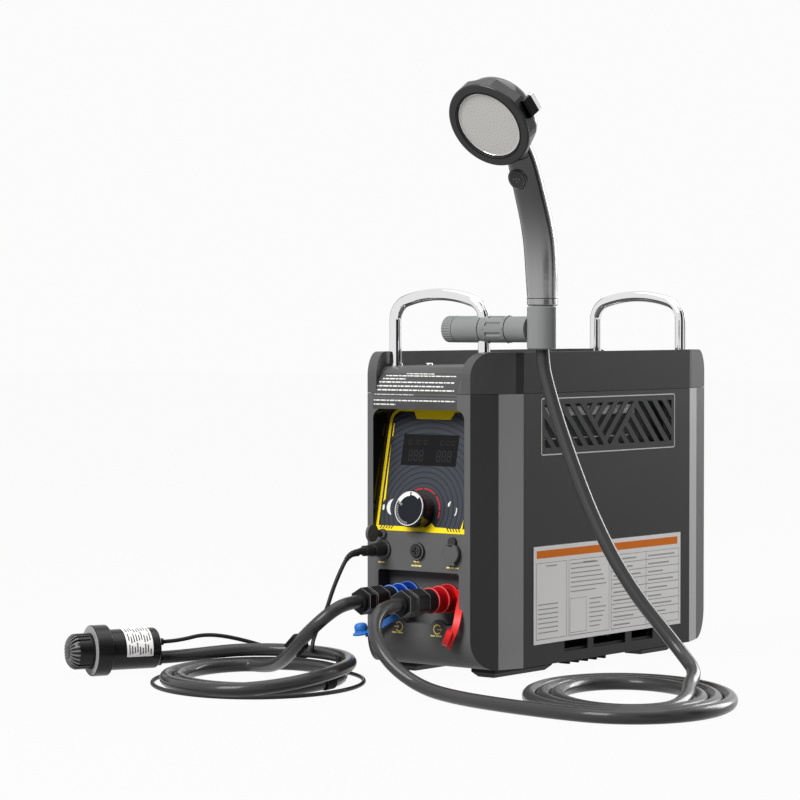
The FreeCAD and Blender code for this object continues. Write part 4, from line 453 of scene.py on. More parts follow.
def turned_piece(name, start, axis, profile, material, count=48):
    """Turned form. The profile holds the distance along the axis and the radius there."""
    axis, across, up = frame_of(axis)
    rings = [circle(Vector(start) + axis * along, across, up, max(radius, 1e-5), count)
             for along, radius in profile]
    return add_piece(name, ring_body(name, rings, creased=True), material, "case")


def nearest(line, place):
    """Number of the point of a line that is nearest to a place, and not at its ends."""
    return min(range(2, len(line) - 2), key=lambda i: (line[i] - Vector(place)).length)


tie_webbing = finish("tie_webbing", (0.017, 0.017, 0.018), 0.75, size=1500.0, depth=0.5,
                     cloud=0.3)


def tie(name, line, near, width, tail):
    """Strap round the hose at the point of its line that is nearest to a place."""
    at = nearest(line, near)
    centre = line[at]
    axis, across, up = frame_of(line[at + 1] - line[at - 1])
    inner, outer = HOSE / 2 + 0.0003, HOSE / 2 + 0.0014
    bands = [circle(centre + axis * along * width / 2, across, up, radius, 32)
             for along, radius in ((-1, inner), (-1, outer), (1, outer), (1, inner))]
    data = ring_body(name, bands, closed=True, creased=True)
    form = bmesh.new()
    form.from_mesh(data)
    reach = HOSE / 2 + 0.0009
    for side in (-1, 1):
        row = []
        for step in range(7):
            out = tail * step / 6
            lean = up * (reach + out * 0.9) + across * side * (0.0008 + out * out * 12)
            row.append([form.verts.new(centre + lean + axis * w * width / 2) for w in (-1, 1)])
        for a, b in zip(row, row[1:]):
            form.faces.new((a[0], a[1], b[1], b[0]) if side > 0 else (b[0], b[1], a[1], a[0]))
    for corner in form.verts:
        corner.co.z = max(corner.co.z, 0.0002)
    form.to_mesh(data)
    form.free()
    return add_piece(name, data, tie_webbing, "case")


def hose_clip(name, line, near, length, away):
    """Open clip that grips the hose from behind, its two jaws on the sides."""
    at = nearest(line, near)
    axis = (line[at + 1] - line[at - 1]).normalized()
    back = (Vector(away) - axis * axis.dot(Vector(away))).normalized()
    side = axis.cross(back)
    rows = []
    for i in range(25):
        turn = math.radians(-104 + 208 * i / 24)
        out = back * math.cos(turn) + side * math.sin(turn)
        thick = 0.0016 + 0.0014 * abs(math.sin(turn)) ** 3
        rows.append([line[at] + out * (HOSE / 2 + rise) + axis * along * length / 2
                     for rise, along in ((0.0002, -1), (thick, -0.94), (thick, 0.94), (0.0002, 1))])
    return add_piece(name, ring_body(name, rows, creased=True), tie_webbing, "case")


hose_clip("clip_on_inlet_run", inlet_line, (-0.068, -0.314, 0.035), 0.020, (-0.576, 0.817, 0.0))
tie("tie_in_coil_front", inlet_line, coil_point(inlet_coil, 1, -30), 0.018, tail=0.006)
tie("tie_in_coil_rear", inlet_line, coil_point(inlet_coil, 1, 20), 0.016, tail=0.010)

ribs = [(0.0, 0.0030), (0.0004, 0.0036)]
for i in range(6):
    root, size = 0.003 * i, 0.0036 - 0.00022 * i
    ribs += [(root + 0.001, size), (root + 0.0028, size),
             (root + 0.003, size - 0.0007), (root + 0.0039, size - 0.0007)]
ribs += [(0.0196, 0.0023), (0.02, 0.0021)]
reach = [0.0]
for a, b in zip(lead_line, lead_line[1:]):
    reach.append(reach[-1] + (b - a).length)
rings = []
for along, radius in ribs:
    at = min(max(i for i, far in enumerate(reach) if far <= along), len(reach) - 2)
    axis, across, up = frame_of(lead_line[at + 1] - lead_line[at])
    share = (along - reach[at]) / (reach[at + 1] - reach[at])
    rings.append(circle(lead_line[at].lerp(lead_line[at + 1], share), across, up, radius, 24))
add_piece("plug_relief", ring_body("plug_relief", rings, creased=True), cable_rubber, "case")


# ---- Case
# Grey moulded end caps and top cover with a spark-eroded texture, dark satin sheet panels
# along the sides, silver painted strips on the slanted corners and a black base with feet.
def paint_shade_on_sides(material, reads, edge, colour):
    """Painted shade: a darker colour on the sides, where the place or the normal has its X past the
    edge.
    """
    nodes, links, place = open_finish(material)
    sideways = worked(nodes, links, "ABSOLUTE", coordinate(nodes, links, place[reads], "X"))
    painted_shade_mask = worked(nodes, links, "GREATER_THAN", sideways.outputs[0], edge)
    two_colours(material, painted_shade_mask.outputs[0], colour)


cap_grey = finish("cap_grey", (0.105, 0.105, 0.106), 0.48, size=1400.0, depth=0.28, cloud=0.07,
                  marks=0.05, on=["front_cap", "rear_cap"])
# Painted shade on the sides and slanted corners of the end caps.
paint_shade_on_sides(cap_grey, "Normal", 0.25, (0.050, 0.050, 0.051))
cover_grey = finish("cover_grey", (0.085, 0.085, 0.086), 0.50, size=1400.0, depth=0.28,
                    cloud=0.07, level=0.07, on=["top_cover"])
# Painted shade on the sides of the top cover.
paint_shade_on_sides(cover_grey, "Object", 0.0800, (0.040, 0.040, 0.041))
finish("sheet_satin", (0.050, 0.050, 0.051), 0.42, size=2400.0, depth=0.10, cloud=0.06,
       marks=0.06, level=0.08, on=["right_side_panel", "left_side_panel"])
finish("strip_silver", (0.255, 0.255, 0.255), 0.34, metal=0.35, size=2600.0, depth=0.06,
       cloud=0.04, marks=0.04, on=["corner_strips"])
finish("base_black", (0.020, 0.020, 0.021), 0.55, size=1200.0, depth=0.25,
       on=["base_pan", "feet"])
finish("bare_steel", (0.55, 0.55, 0.56), 0.30, metal=1.0, size=1800.0, depth=0.05, cloud=0.08,
       marks=0.12, on=["cover_screws", "handle_nuts"])


# ---- Handles
# Two tubes of 12 mm, bent, polished and chrome plated. They stand on the deck at both ends
# of the case, and nuts hold them from below.
chrome = finish("chrome", (0.80, 0.80, 0.81), 0.07, metal=1.0, size=300.0, depth=0.01, cloud=0.02,
                marks=0.03, on=["front_handle", "rear_handle"])


# ---- Printed marks
# Thin print and labels lie a tenth of a millimetre over the surface that carries them.
# Every mark is drawn flat, as outlines in millimetres, and set on its surface.
class Surface:
    """Flat place on the heater: an origin, its right and up directions and its outside."""

    def __init__(self, origin, right, up, body="case"):
        self.origin, self.right, self.up = Vector(origin), Vector(right), Vector(up)
        self.out, self.body = self.right.cross(self.up), body

    def at(self, u, v, height):
        return self.origin + (self.right * u + self.up * v + self.out * height) * 0.001


def strip_of(points, width):
    """Outline of a line of given width through points."""
    left, right = [], []
    for i, (x, y) in enumerate(points):
        ax, ay = points[max(i - 1, 0)]
        bx, by = points[min(i + 1, len(points) - 1)]
        run = math.hypot(bx - ax, by - ay)
        nx, ny = -(by - ay) / run * width / 2, (bx - ax) / run * width / 2
        left.append((x + nx, y + ny))
        right.append((x - nx, y - ny))
    return [[left[i], left[i + 1], right[i + 1], right[i]] for i in range(len(points) - 1)]


def bow(cx, cy, radius, start, end, steps=24):
    """Points on an arc, from the start angle to the end angle in degrees."""
    return [(cx + radius * math.cos(math.radians(start + (end - start) * i / steps)),
             cy + radius * math.sin(math.radians(start + (end - start) * i / steps)))
            for i in range(steps + 1)]


def bar(x0, y0, x1, y1):
    """Outline of a filled box."""
    return [(x0, y0), (x1, y0), (x1, y1), (x0, y1)]


def box_line(x0, y0, x1, y1, width):
    """Line of given width round a box."""
    return strip_of(bar(x0, y0, x1, y1) + [(x0, y0)], width)


def mark(name, surface, shapes, material, height=0.12, thick=0.0):
    """One printed mark or thin plate from flat outlines, facing outwards."""
    form = bmesh.new()
    for shape in shapes:
        area = sum(a[0] * b[1] - b[0] * a[1] for a, b in zip(shape, shape[1:] + shape[:1]))
        shape = shape if area > 0 else shape[::-1]
        top = [form.verts.new(surface.at(u, v, height + thick)) for u, v in shape]
        form.faces.new(top)
        if thick:
            low = [form.verts.new(surface.at(u, v, height)) for u, v in shape]
            for i in range(len(shape)):
                j = (i + 1) % len(shape)
                form.faces.new((low[i], low[j], top[j], top[i]))
    data = bpy.data.meshes.new(name)
    form.to_mesh(data)
    form.free()
    return add_piece(name, data, material, surface.body)


# ---- Control panel
# Dark blue moulded plate leaning back in the recess, printed with dark rings round the knob
# and framed by a raised yellow border. A scale and small signs are printed on it, and the
# recess has a glossy black lining.
face_blue = finish("face_blue", (0.021, 0.0255, 0.036), 0.42, size=1600.0, depth=0.08, cloud=0.10,
                   level=0.3, on=["control_panel"])
RING_PITCH, RING_MIDDLE = 0.0055, (-0.003, -0.20185, 0.16193)
nodes, links, place = open_finish(face_blue)
from_knob = worked(nodes, links, "DISTANCE", place["Object"], RING_MIDDLE,
                   kind="ShaderNodeVectorMath")
ring_count = worked(nodes, links, "DIVIDE", from_knob.outputs["Value"], RING_PITCH)
in_ring = worked(nodes, links, "FRACT", ring_count.outputs[0])
two_colours(face_blue, soft_edge(nodes, links, in_ring.outputs[0], 0.20, 0.32),
            (0.0042, 0.0050, 0.0075), where_on=False)

trim_yellow = finish("trim_yellow", (0.92, 0.68, 0.008), 0.34, size=1500.0, depth=0.06,
                     cloud=0.04, level=0.3, on=["panel_trim"])

black_gloss = finish("black_gloss", (0.006, 0.006, 0.0065), 0.16, size=700.0, depth=0.03,
                     cloud=0.2, marks=0.04)
half, low, top, corner = 55.75, 142.3, 261.75, 9.75
edge = [(-half, low)] + bow(-half + corner, top - corner, corner, 180, 90, 10)
edge += bow(half - corner, top - corner, corner, 90, 0, 10) + [(half, low)]
LINING_FRONT, LINING_FOOT, LEAN = -209.7, -207.3, 0.218
points = [Vector((x, y, z)) / 1000 for x, z in edge
          for y in (LINING_FRONT, LINING_FOOT + LEAN * (z - 142))]
faces = [(2 * i, 2 * i + 1, 2 * i + 3, 2 * i + 2) for i in range(len(edge) - 1)]
add_piece("recess_lining", soft_mesh("recess_lining", points, faces), black_gloss, "case")

panel = Surface((0, -0.2062, 0.142), (1, 0, 0), (0, 0.21303, 0.97705))


def print_ink(name, colour, rough=0.45, cloud=0.05):
    """Thin matt print."""
    return finish(name, colour, rough, size=2500.0, depth=0.03, cloud=cloud, level=0.3)


print_white = print_ink("print_white", (0.72, 0.72, 0.70), rough=0.5)
print_red = print_ink("print_red", (0.42, 0.012, 0.022), cloud=0.08)
print_cream = print_ink("print_cream", (0.90, 0.72, 0.24))
print_dark = print_ink("print_dark", (0.007, 0.008, 0.010), cloud=0.1)
mark("border_peak", panel, [[(6, 4.9), (12.6, 9.6), (16.9, 5.6), (30, 5.6), (31, 4.9)]],
     trim_yellow, height=0.0, thick=0.6)
mark("border_steps", panel, [[(-50.4, 86), (-50.4, 28.5), (-48.2, 31.5)],
                             bar(-50.4, 94, -49.3, 107), [(50.4, 4.9), (50.4, 14), (48.0, 4.9)]],
     trim_yellow, height=0.0, thick=0.6)
mark("hazard_strokes", panel, [[(start + 3.4 * i, 5.0), (start + 1.4 + 3.4 * i, 5.0),
                                (start + 1.4 + lean + 3.4 * i, 2.0), (start + lean + 3.4 * i, 2.0)]
                               for start, lean in ((-48.8, -2.0), (31.5, 2.0)) for i in range(5)],
     print_dark, height=0.66)
knob_x, knob_s, scale = -3.0, 20.4, 22.8
# Dark ring round the knob: partly the printed ground of the scale, partly painted shadow of the
# knob on the panel.
mark("scale_ground_and_knob_shadow", panel, strip_of(bow(knob_x, knob_s, 20.2, 0, 360, 72), 8.2), print_dark,
     height=0.08)
mark("scale_cream", panel, strip_of(bow(knob_x, knob_s, scale, 134, 121, 6), 1.7), print_cream)
mark("scale_red", panel, [s for a, b in ((117, 93), (89, 50), (44, 6), (2, -14))
                          for s in strip_of(bow(knob_x, knob_s, scale, a, b, 14), 1.5)], print_red)
moon = bow(-37.6, 23.7, 8.1, 98, 262, 20) + bow(-29.0, 23.7, 12.4, 219, 141, 20)
mark("mode_moon", panel, [moon], print_white)
mark("mode_drop", panel, [[(29.2, 26.6), (28.9, 29.6), (31.0, 31.8), (32.2, 31.6), (30.9, 26.9)]]
     + strip_of(bow(31.5, 23.0, 8.7, -34, 18, 12), 1.2), print_white)
mark("edge_tick", panel, [bow(-49.6, 24.6, 1.2, 0, 180, 8) + bow(-49.6, 21.4, 1.2, 180, 360, 8)],
     print_white)


# ---- Display window
# Smoked black window flush in the panel. With the heater off, only the faint outlines of
# two numbers and a row of small signs can be seen in it.
finish("smoked_window", (0.0030, 0.0030, 0.0038), 0.13, size=400.0, depth=0.02, cloud=0.1,
       marks=0.03, level=0.15, on=["display_window"])
ghost = finish("ghost_segments", (0.0085, 0.009, 0.0105), 0.2, size=400.0, depth=0.02, cloud=0.1,
               level=0.35)
bars = []
for x in (-27.0, -20.5, -14.0, 7.5, 14.0, 20.5):
    for low in (71.0, 76.0):
        bars += [bar(x, low, x + 0.9, low + 4.2), bar(x + 3.8, low, x + 4.7, low + 4.2)]
    bars += [bar(x + 0.6, z, x + 4.1, z + 0.9) for z in (70.2, 75.2, 80.4)]
for x in (-27, -17, -8, 12, 19, 26):
    bars += strip_of(bow(x, 89, 2.2, 20, 340, 14), 0.6)
mark("ghost_numbers", panel, bars, ghost, height=0.06)


# ---- Control knob
# Black knob with a flat face. The face carries a white ring, a broad white arc for the
# summer and winter range and a grey pointer.
finish("knob_black", (0.006, 0.006, 0.0065), 0.13, size=1200.0, depth=0.04, cloud=0.15,
       marks=0.05, level=0.5, on=["control_knob"])
knob_face = Surface((-0.003, -0.220906, 0.166086), (1, 0, 0), (0, 0.21303, 0.97705), "knob")
face_disc = finish("face_disc", (0.0065, 0.0082, 0.0118), 0.50, size=1500.0, depth=0.05,
                   cloud=0.12, level=0.10)
mark("knob_disc", knob_face, [bow(0, 0, 16.8, 0, 360, 72)[:-1]], face_disc,
     height=0.03)
mark("knob_ring", knob_face, strip_of(bow(0, 0, 16.5, 0, 360, 72), 0.75), print_white)
mark("knob_arcs", knob_face, strip_of(bow(0, 0, 14.3, 152, 92, 20), 3.9)
     + strip_of(bow(0, 0, 14.8, 86, 46, 14), 2.9), print_white)
pointer_grey = finish("pointer_grey", (0.20, 0.20, 0.21), 0.45, size=1500.0, depth=0.05,
                      cloud=0.1, level=0.3)
mark("knob_pointer", knob_face, strip_of([(-14.4, 6.6), (-8.6, 3.2)], 2.2), pointer_grey,
     height=0.03, thick=0.5)
mark("knob_dashes", knob_face, [s for a in range(168, 270, 8)
                                for s in strip_of(bow(0, 0, 14.4, a, a + 5.2, 4), 2.4)],
     pointer_grey, height=0.08)


# ---- Socket row
# Pump socket, fuse holder and power socket are black moulded parts with rubber caps. A fine bead
# marks each turned rim; on the fuse holder, its cap and the pump socket it is light grey, a painted
# highlight.
socket_black = finish("socket_black", (0.017, 0.017, 0.018), 0.38, size=1200.0, depth=0.12,
                      cloud=0.15, level=0.4,
                      on=["pump_socket", "fuse_holder", "fuse_cap", "dc_socket", "pump_plug"])
cap_rubber = finish("cap_rubber", (0.085, 0.085, 0.086), 0.60, size=1800.0, depth=0.3, cloud=0.15,
                    marks=0.1, level=0.3, on=["pump_socket_cap", "dc_socket_cap"])
# Light grey for painted highlights on rims, and for the icon dots of the button.
rim_highlight_and_icon_grey = finish("rim_highlight_and_icon_grey", (0.16, 0.16, 0.16), 0.35, size=1500.0, depth=0.05)


def rim_ring(name, centre, axis, radius, wire, material, body):
    """Thin round bead on a rim."""
    axis, across, up = frame_of(axis)
    rings = [circle(Vector(centre) + out * radius, out, axis, wire, 8)
             for out in circle(Vector((0, 0, 0)), across, up, 1, 56)]
    return add_piece(name, ring_body(name, rings, closed=True), material, body)


SOCKET_Z = 0.124
for name, x, y, radius, wire, material, body in (
        ("fuse_rim", 0, -0.2129, 0.0079, 0.00035, rim_highlight_and_icon_grey, "case"),
        ("fuse_cap_rim", 0, -0.2144, 0.0050, 0.00025, rim_highlight_and_icon_grey, "fuse_cap"),
        ("dc_cap_rim", 0.043, -0.2157, 0.0089, 0.0003, cap_rubber, "dc_cap"),
        ("pump_socket_rim", -0.043, -0.2124, 0.0090, 0.00035, rim_highlight_and_icon_grey, "case")):
    rim_ring(name, (x, y, SOCKET_Z), (0, -1, 0), radius, wire, material, body)


# ---- Water fittings
# Black spuds and nuts with coloured ribbed collars, blue for cold water in and red for hot
# water out. Blanking caps hang on soft straps of the same colours, and cream signs and
# dashes are printed on the case round them.
finish("fitting_black", (0.013, 0.013, 0.014), 0.30, size=900.0, depth=0.15, cloud=0.2,
       marks=0.08, on=["water_ports", "hose_connectors", "inlet_union_nut", "outlet_union_nut"])
finish("collar_blue", (0.004, 0.035, 0.27), 0.36, size=900.0, depth=0.12, cloud=0.15,
       on=["inlet_collar"])
finish("collar_red", (0.40, 0.004, 0.008), 0.36, size=900.0, depth=0.12, cloud=0.15,
       on=["outlet_collar"])
# Painted highlights: lighter beads in the collar colours on the front edges of the ribs.
painted_highlight_blue = finish("painted_highlight_blue", (0.14, 0.30, 0.76), 0.35, size=900.0, depth=0.05)
painted_highlight_red = finish("painted_highlight_red", (0.82, 0.11, 0.11), 0.35, size=900.0, depth=0.05)
RIB_START, RIB_PITCH = -0.1946, 0.0145
for side, word, tone, slot in ((-1, "cold", painted_highlight_blue, "blue_plastic"),
                               (1, "hot", painted_highlight_red, "red_plastic")):
    for i, radius in enumerate((0.01395, 0.01295, 0.0122)):
        rim_ring("%s_rib_edge_%d" % (word, i + 1),
                 (side * PORT_X, RIB_START - i * RIB_PITCH, PORT_Z), (0, -1, 0), radius, 0.00058,
                 tone, "case")

# Light grey for painted highlights along the hexagon ends of the nuts and tails.
nut_highlight_grey = finish("nut_highlight_grey", (0.20, 0.20, 0.20), 0.35, size=900.0, depth=0.05)
HEX_CORNER, NUT_HALF, TAIL_HALF, TAIL_HEX = 0.0132, 0.0120, 0.0115, (0.004, 0.014)


def hex_highlight_bead(name, x, y, half, body):
    """Painted highlight: a fine bright bead along the end of a hexagon whose corners are turned
    off.
    """
    spread = math.acos(half / HEX_CORNER)
    rings = []
    for turn in (math.radians(60 * k) + spread * side for k in range(6) for side in (-1, 1)):
        out = Vector((math.cos(turn), 0, math.sin(turn)))
        rings.append(circle(Vector((x, y, PORT_Z)) + out * HEX_CORNER, out, Vector((0, 1, 0)),
                            0.00024, 8))
    return add_piece(name, ring_body(name, rings, closed=True), nut_highlight_grey, body)


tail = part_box("hose_connectors")[0][1]
for side, word in ((-1, "inlet"), (1, "outlet")):
    nut = [corner[1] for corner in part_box(word + "_union_nut")]
    for kind, ends, half, body in (("nut", nut, NUT_HALF, word + "_nut"),
                                   ("tail", [tail + on for on in TAIL_HEX], TAIL_HALF, "case")):
        for number, y in enumerate(ends):
            hex_highlight_bead("%s_%s_edge_%d" % (word, kind, number), side * PORT_X, y, half, body)


STRAP_THICK = 0.0018
STRAP_SECTION = ((-1, -0.6), (-0.9, -1), (0.9, -1), (1, -0.6),
                 (1, 0.6), (0.9, 1), (-0.9, 1), (-1, 0.6))


def flat_strap(name, points, widths, across, material):
    """Flat soft strap along its points, lying across a given direction."""
    line = line_of(cord_curve(name + "_line", points, 0.001))
    rings = []
    for i, centre in enumerate(line):
        run = (line[min(i + 1, len(line) - 1)] - line[max(i - 1, 0)]).normalized()
        side = run.cross(Vector(across)).normalized()
        flat = side.cross(run)
        half = (widths[0] + (widths[1] - widths[0]) * i / (len(line) - 1)) / 2
        rings.append([centre + side * a * half + flat * b * STRAP_THICK / 2
                      for a, b in STRAP_SECTION])
    return add_piece(name, ring_body(name, rings, creased=True), material, "case")


soft_blue = finish("soft_blue", (0.025, 0.16, 0.53), 0.42, size=1200.0, depth=0.15, cloud=0.12,
                   level=0.35)
soft_red = finish("soft_red", (0.72, 0.012, 0.014), 0.40, size=1200.0, depth=0.15, cloud=0.10,
                  level=0.35)
flat_strap("blue_strap", [(-0.022, -0.1935, 0.0665), (-0.024, -0.203, 0.0600),
                          (-0.029, -0.2135, 0.0570), (-0.040, -0.2165, 0.0500),
                          (-0.051, -0.2175, 0.0435), (-0.0600, -0.217, 0.0395)],
           (0.0070, 0.0060), (0, 1, 0), soft_blue)
blue_profile = [(0.0, 0.0), (0.0, 0.0072), (0.0006, 0.0088), (0.0018, 0.0090), (0.0027, 0.0082),
                (0.0032, 0.0068), (0.0046, 0.0066), (0.0050, 0.0060), (0.0056, 0.0066),
                (0.0088, 0.0065), (0.0106, 0.0058), (0.0117, 0.0042), (0.0122, 0.0018),
                (0.0122, 0.0)]
turned_piece("blue_cap", (-0.0648, -0.2165, 0.0385), (-0.12, -0.10, 1), blue_profile, soft_blue)
flat_strap("red_strap", [(0.0330, -0.1945, 0.0840), (0.0390, -0.1955, 0.0830),
                         (0.0440, -0.1995, 0.0790), (0.0485, -0.2070, 0.0725),
                         (0.0515, -0.2140, 0.0640), (0.0525, -0.2180, 0.0550),
                         (0.0500, -0.2205, 0.0460), (0.0465, -0.2205, 0.0385),
                         (0.0440, -0.2200, 0.0335)],
           (0.0090, 0.0060), (-0.35, 1, 0.25), soft_red)
red_profile = [(0.0, 0.0), (0.0, 0.0078), (0.0004, 0.0085), (0.0056, 0.0086), (0.0060, 0.0082),
               (0.0060, 0.0068), (0.0012, 0.0066), (0.0012, 0.0)]
turned_piece("red_cap", (0.0462, -0.2190, 0.0425), (-0.79, -0.53, 0.36), red_profile, soft_red)

front_face = Surface((0, -0.210, 0), (1, 0, 0), (0, 0, 1))
SIGN_X, SIGN_Z, SIGN_RADIUS, DASH_HIGH = 23.6, 49.0, 4.4, 1.5
for side, name in ((-1, "cold_sign"), (1, "hot_sign")):
    x, z = SIGN_X * side, SIGN_Z
    gap = 180 if side < 0 else 0
    tip = x + (0.6 if side < 0 else 6.2)
    mark(name, front_face, strip_of(bow(x, z, SIGN_RADIUS, gap + 38, gap + 322, 26), 1.3)
         + [bar(tip - 6.4, z - 0.45, tip - 2.0, z + 0.45),
            [(tip - 2.6, z - 1.9), (tip, z), (tip - 2.6, z + 1.9)]], print_cream)
runs = [bar(start, low, end, low + DASH_HIGH)
        for low, spans in ((110.4, ((-49.4, -46.2), (-45.6, -41.6))),
                           (112.9, ((-5.4, -2.4), (-1.8, 1.6))),
                           (108.9, ((-8.2, -5.0), (-4.4, -0.6), (0.0, 4.0))),
                           (109.0, ((34.8, 38.6), (39.8, 43.4), (44.8, 49.4))),
                           (42.4, ((-32.0, -26.8), (-25.6, -18.6))),
                           (41.9, ((15.4, 21.0), (22.2, 29.0))))
        for start, end in spans]
mark("place_marks", front_face, runs, print_cream)


# ---- Front instruction place
# The rounded front of the top cover and the edge below it carry a darker printed field
# between the ears. Rows of plain dashes stand in its lines, without words.
field_dark = finish("field_dark", (0.050, 0.050, 0.051), 0.52, size=700.0, depth=0.5, cloud=0.6,
                    marks=0.2, level=0.2)
ROUND_RADIUS, ROUND_Y, ROUND_Z = 30.3, -179.7, 273.3


def on_front(x, run, lift):
    """Point over the front: millimetres across, and up from the seam over the round edge."""
    turn, out = max(run, 0.0) / ROUND_RADIUS, ROUND_RADIUS + lift
    return Vector((x, ROUND_Y - out * math.cos(turn),
                   ROUND_Z + out * math.sin(turn) + min(run, 0.0))) / 1000


def front_print(name, patches, material, lift):
    """Patches of x and run printed over the round front edge."""
    points, faces = [], []
    for x0, x1, low, high in patches:
        steps = max(1, round((high - low) / 2))
        for i in range(steps + 1):
            run = low + (high - low) * i / steps
            points += [on_front(x0, run, lift), on_front(x1, run, lift)]
            if i:
                n = len(points)
                faces.append((n - 4, n - 3, n - 1, n - 2))
    return add_piece(name, soft_mesh(name, points, faces), material, "case")


front_print("front_field", [(-56, 47, -11.5, -1.2), (-56, 47, 0.8, 27.5)], field_dark, 0.10)
dashes = []
for row, (run, start, end) in enumerate(((25.4, -22, 12), (22.4, -46, 40), (18.6, -48, -20),
                                         (14.8, -51, 41), (10.6, -53, 30), (6.6, -54, 43),
                                         (2.4, -54, -6), (-3.6, -55, 45), (-7.6, -55, -28))):
    x, step = start, 0
    while x < end:
        length = 2.2 + (row * 5 + step * 7) % 5 * 1.1
        dashes.append((x, min(x + length, end), run, run + 1.3))
        x, step = x + length + 0.9, step + 1
front_print("front_dashes", dashes, print_white, 0.16)


# ---- Side panels
# Satin sheet with slanted vent slots inside a painted white line. Bright sheet shows behind
# the upper part of the slots. The label plate has an orange head and plain ruled fields.
right_side = Surface((0.083, 0, 0), (0, 1, 0), (0, 0, 1))
left, right, low, high = -117.5, 118, 218.7, 269.7
turn, wide = 2.1, 1.1
sides = (((left, low - turn), (right, low - turn)), ((right + turn, low), (right + turn, high)),
         ((right, high + turn), (left, high + turn)), ((left - turn, high), (left - turn, low)))
corners = ((left, low, 180), (right, low, 270), (right, high, 0), (left, high, 90))
mark("vent_line", right_side,
     [s for ends in sides for s in strip_of(ends, wide)]
     + [s for x, z, a in corners for s in strip_of(bow(x, z, turn, a, a + 90, 6), wide)],
     print_white)
zinc = finish("zinc_sheet", (0.62, 0.62, 0.63), 0.42, metal=0.6, size=240.0, depth=0.15,
              cloud=0.25, marks=0.15)
behind_vent = Surface((0.0700, 0, 0), (0, 1, 0), (0, 0, 1))
mark("vent_baffle", behind_vent, [bar(-117, 253.4, 63, 262.4), bar(-117, 230.5, 52, 231.7)], zinc,
     thick=0.6)
# Painted shade: a dark sheet behind the slots stands for the shade inside the case.
mark("vent_shade_sheet", behind_vent, [bar(-118, 218, 118, 270)], print_dark,
     height=-0.6, thick=0.5)

label_face = finish("label_face", (0.94, 0.925, 0.915), 0.38, size=1400.0, depth=0.04, cloud=0.05,
                    marks=0.05, level=0.35)
label_orange = finish("label_orange", (0.86, 0.205, 0.004), 0.55, size=1400.0, depth=0.04,
                      cloud=0.05, level=0.08)
label_ink = finish("label_ink", (0.10, 0.10, 0.105), 0.45, size=1400.0, depth=0.04, cloud=0.1,
                   level=0.35)
label_pale = finish("label_pale", (0.33, 0.325, 0.32), 0.45, size=1400.0, depth=0.04, cloud=0.1,
                    level=0.35)
mark("label_plate", right_side, [bar(-133, 31, 131.5, 127)], label_face,
     thick=0.4)
mark("label_head", right_side, [bar(-128.5, 115.2, 125.5, 122.8)], label_orange,
     height=0.56)
TABLE_LOW, TABLE_HIGH, TABLE_ROWS = 35.5, 110.5, 9
row_high = (TABLE_HIGH - TABLE_LOW) / TABLE_ROWS
lines = []
for left, right in ((-129, -77), (-73, -2), (2, 66), (66, 128)):
    lines += box_line(left, TABLE_LOW, right, TABLE_HIGH, 0.6)
for row in range(1, TABLE_ROWS):
    z = TABLE_LOW + row * row_high
    lines += strip_of([(2, z), (128, z)], 0.5)
mark("label_rules", right_side, lines, label_ink, height=0.56)
bars = []
for row in range(TABLE_ROWS):
    z = TABLE_LOW + 3.7 + row * row_high
    for start, run in ((6, 30 + (row * 7) % 22), (70, 22 + (row * 11) % 30)):
        bars.append(bar(start, z - 0.7, start + run, z + 0.7))
for row in range(7):
    z = 42 + row * 4.6
    bars.append(bar(-126, z - 0.5, -126 + 34 + (row * 13) % 13, z + 0.5))
    bars.append(bar(-37, z - 0.5, -37 + 18 + (row * 17) % 14, z + 0.5))
    bars.append(bar(-70, z + 36.5, -70 + 44 + (row * 19) % 22, z + 37.5))
bars += box_line(-71, 38, -42, 72, 0.6)
bars += [bar(-112, 106.6, -94, 107.8), bar(-48, 106.6, -26, 107.8)]
mark("label_fields", right_side, bars, label_pale, height=0.56)


# ---- Handset holder
# Grey-green moulded clamp on the handle tube. Its ridged knob draws the barrel halves
# together, and the open cradle carries the foot of the handset.
holder_grey = finish("holder_grey", (0.205, 0.214, 0.212), 0.34, coat=0.2, size=1300.0,
                     depth=0.10, cloud=0.06, marks=0.05,
                     on=["holder_clamp_knob", "holder_clamp", "holder_cradle"])
holder_seam = finish("holder_seam", (0.02, 0.022, 0.022), 0.5, size=1300.0)
BARREL_Y, BARREL_Z, BARREL_RADIUS = -0.176, 0.340, 0.013
for x in (0.0233, 0.0862):
    rim_ring("holder_seam_%d" % round(x * 1000), (x, BARREL_Y, BARREL_Z), (1, 0, 0), 0.0127,
             0.00045, holder_seam, "case")
PIP = [(0, 0.0011), (0.0005, 0.0011), (0.0009, 0.0008), (0.0011, 0.0)]
pips = [(turn, x) for turn in range(8) for x in (0.0613, 0.0838)]
for number, (turn, x) in enumerate(pips):
    a = math.radians(42.5 + 45 * turn)
    out = Vector((0, math.cos(a), math.sin(a)))
    foot = Vector((x, BARREL_Y, BARREL_Z)) + out * (BARREL_RADIUS - 0.0004)
    turned_piece("holder_pip_%d" % number, foot, out, PIP, holder_grey, count=12)


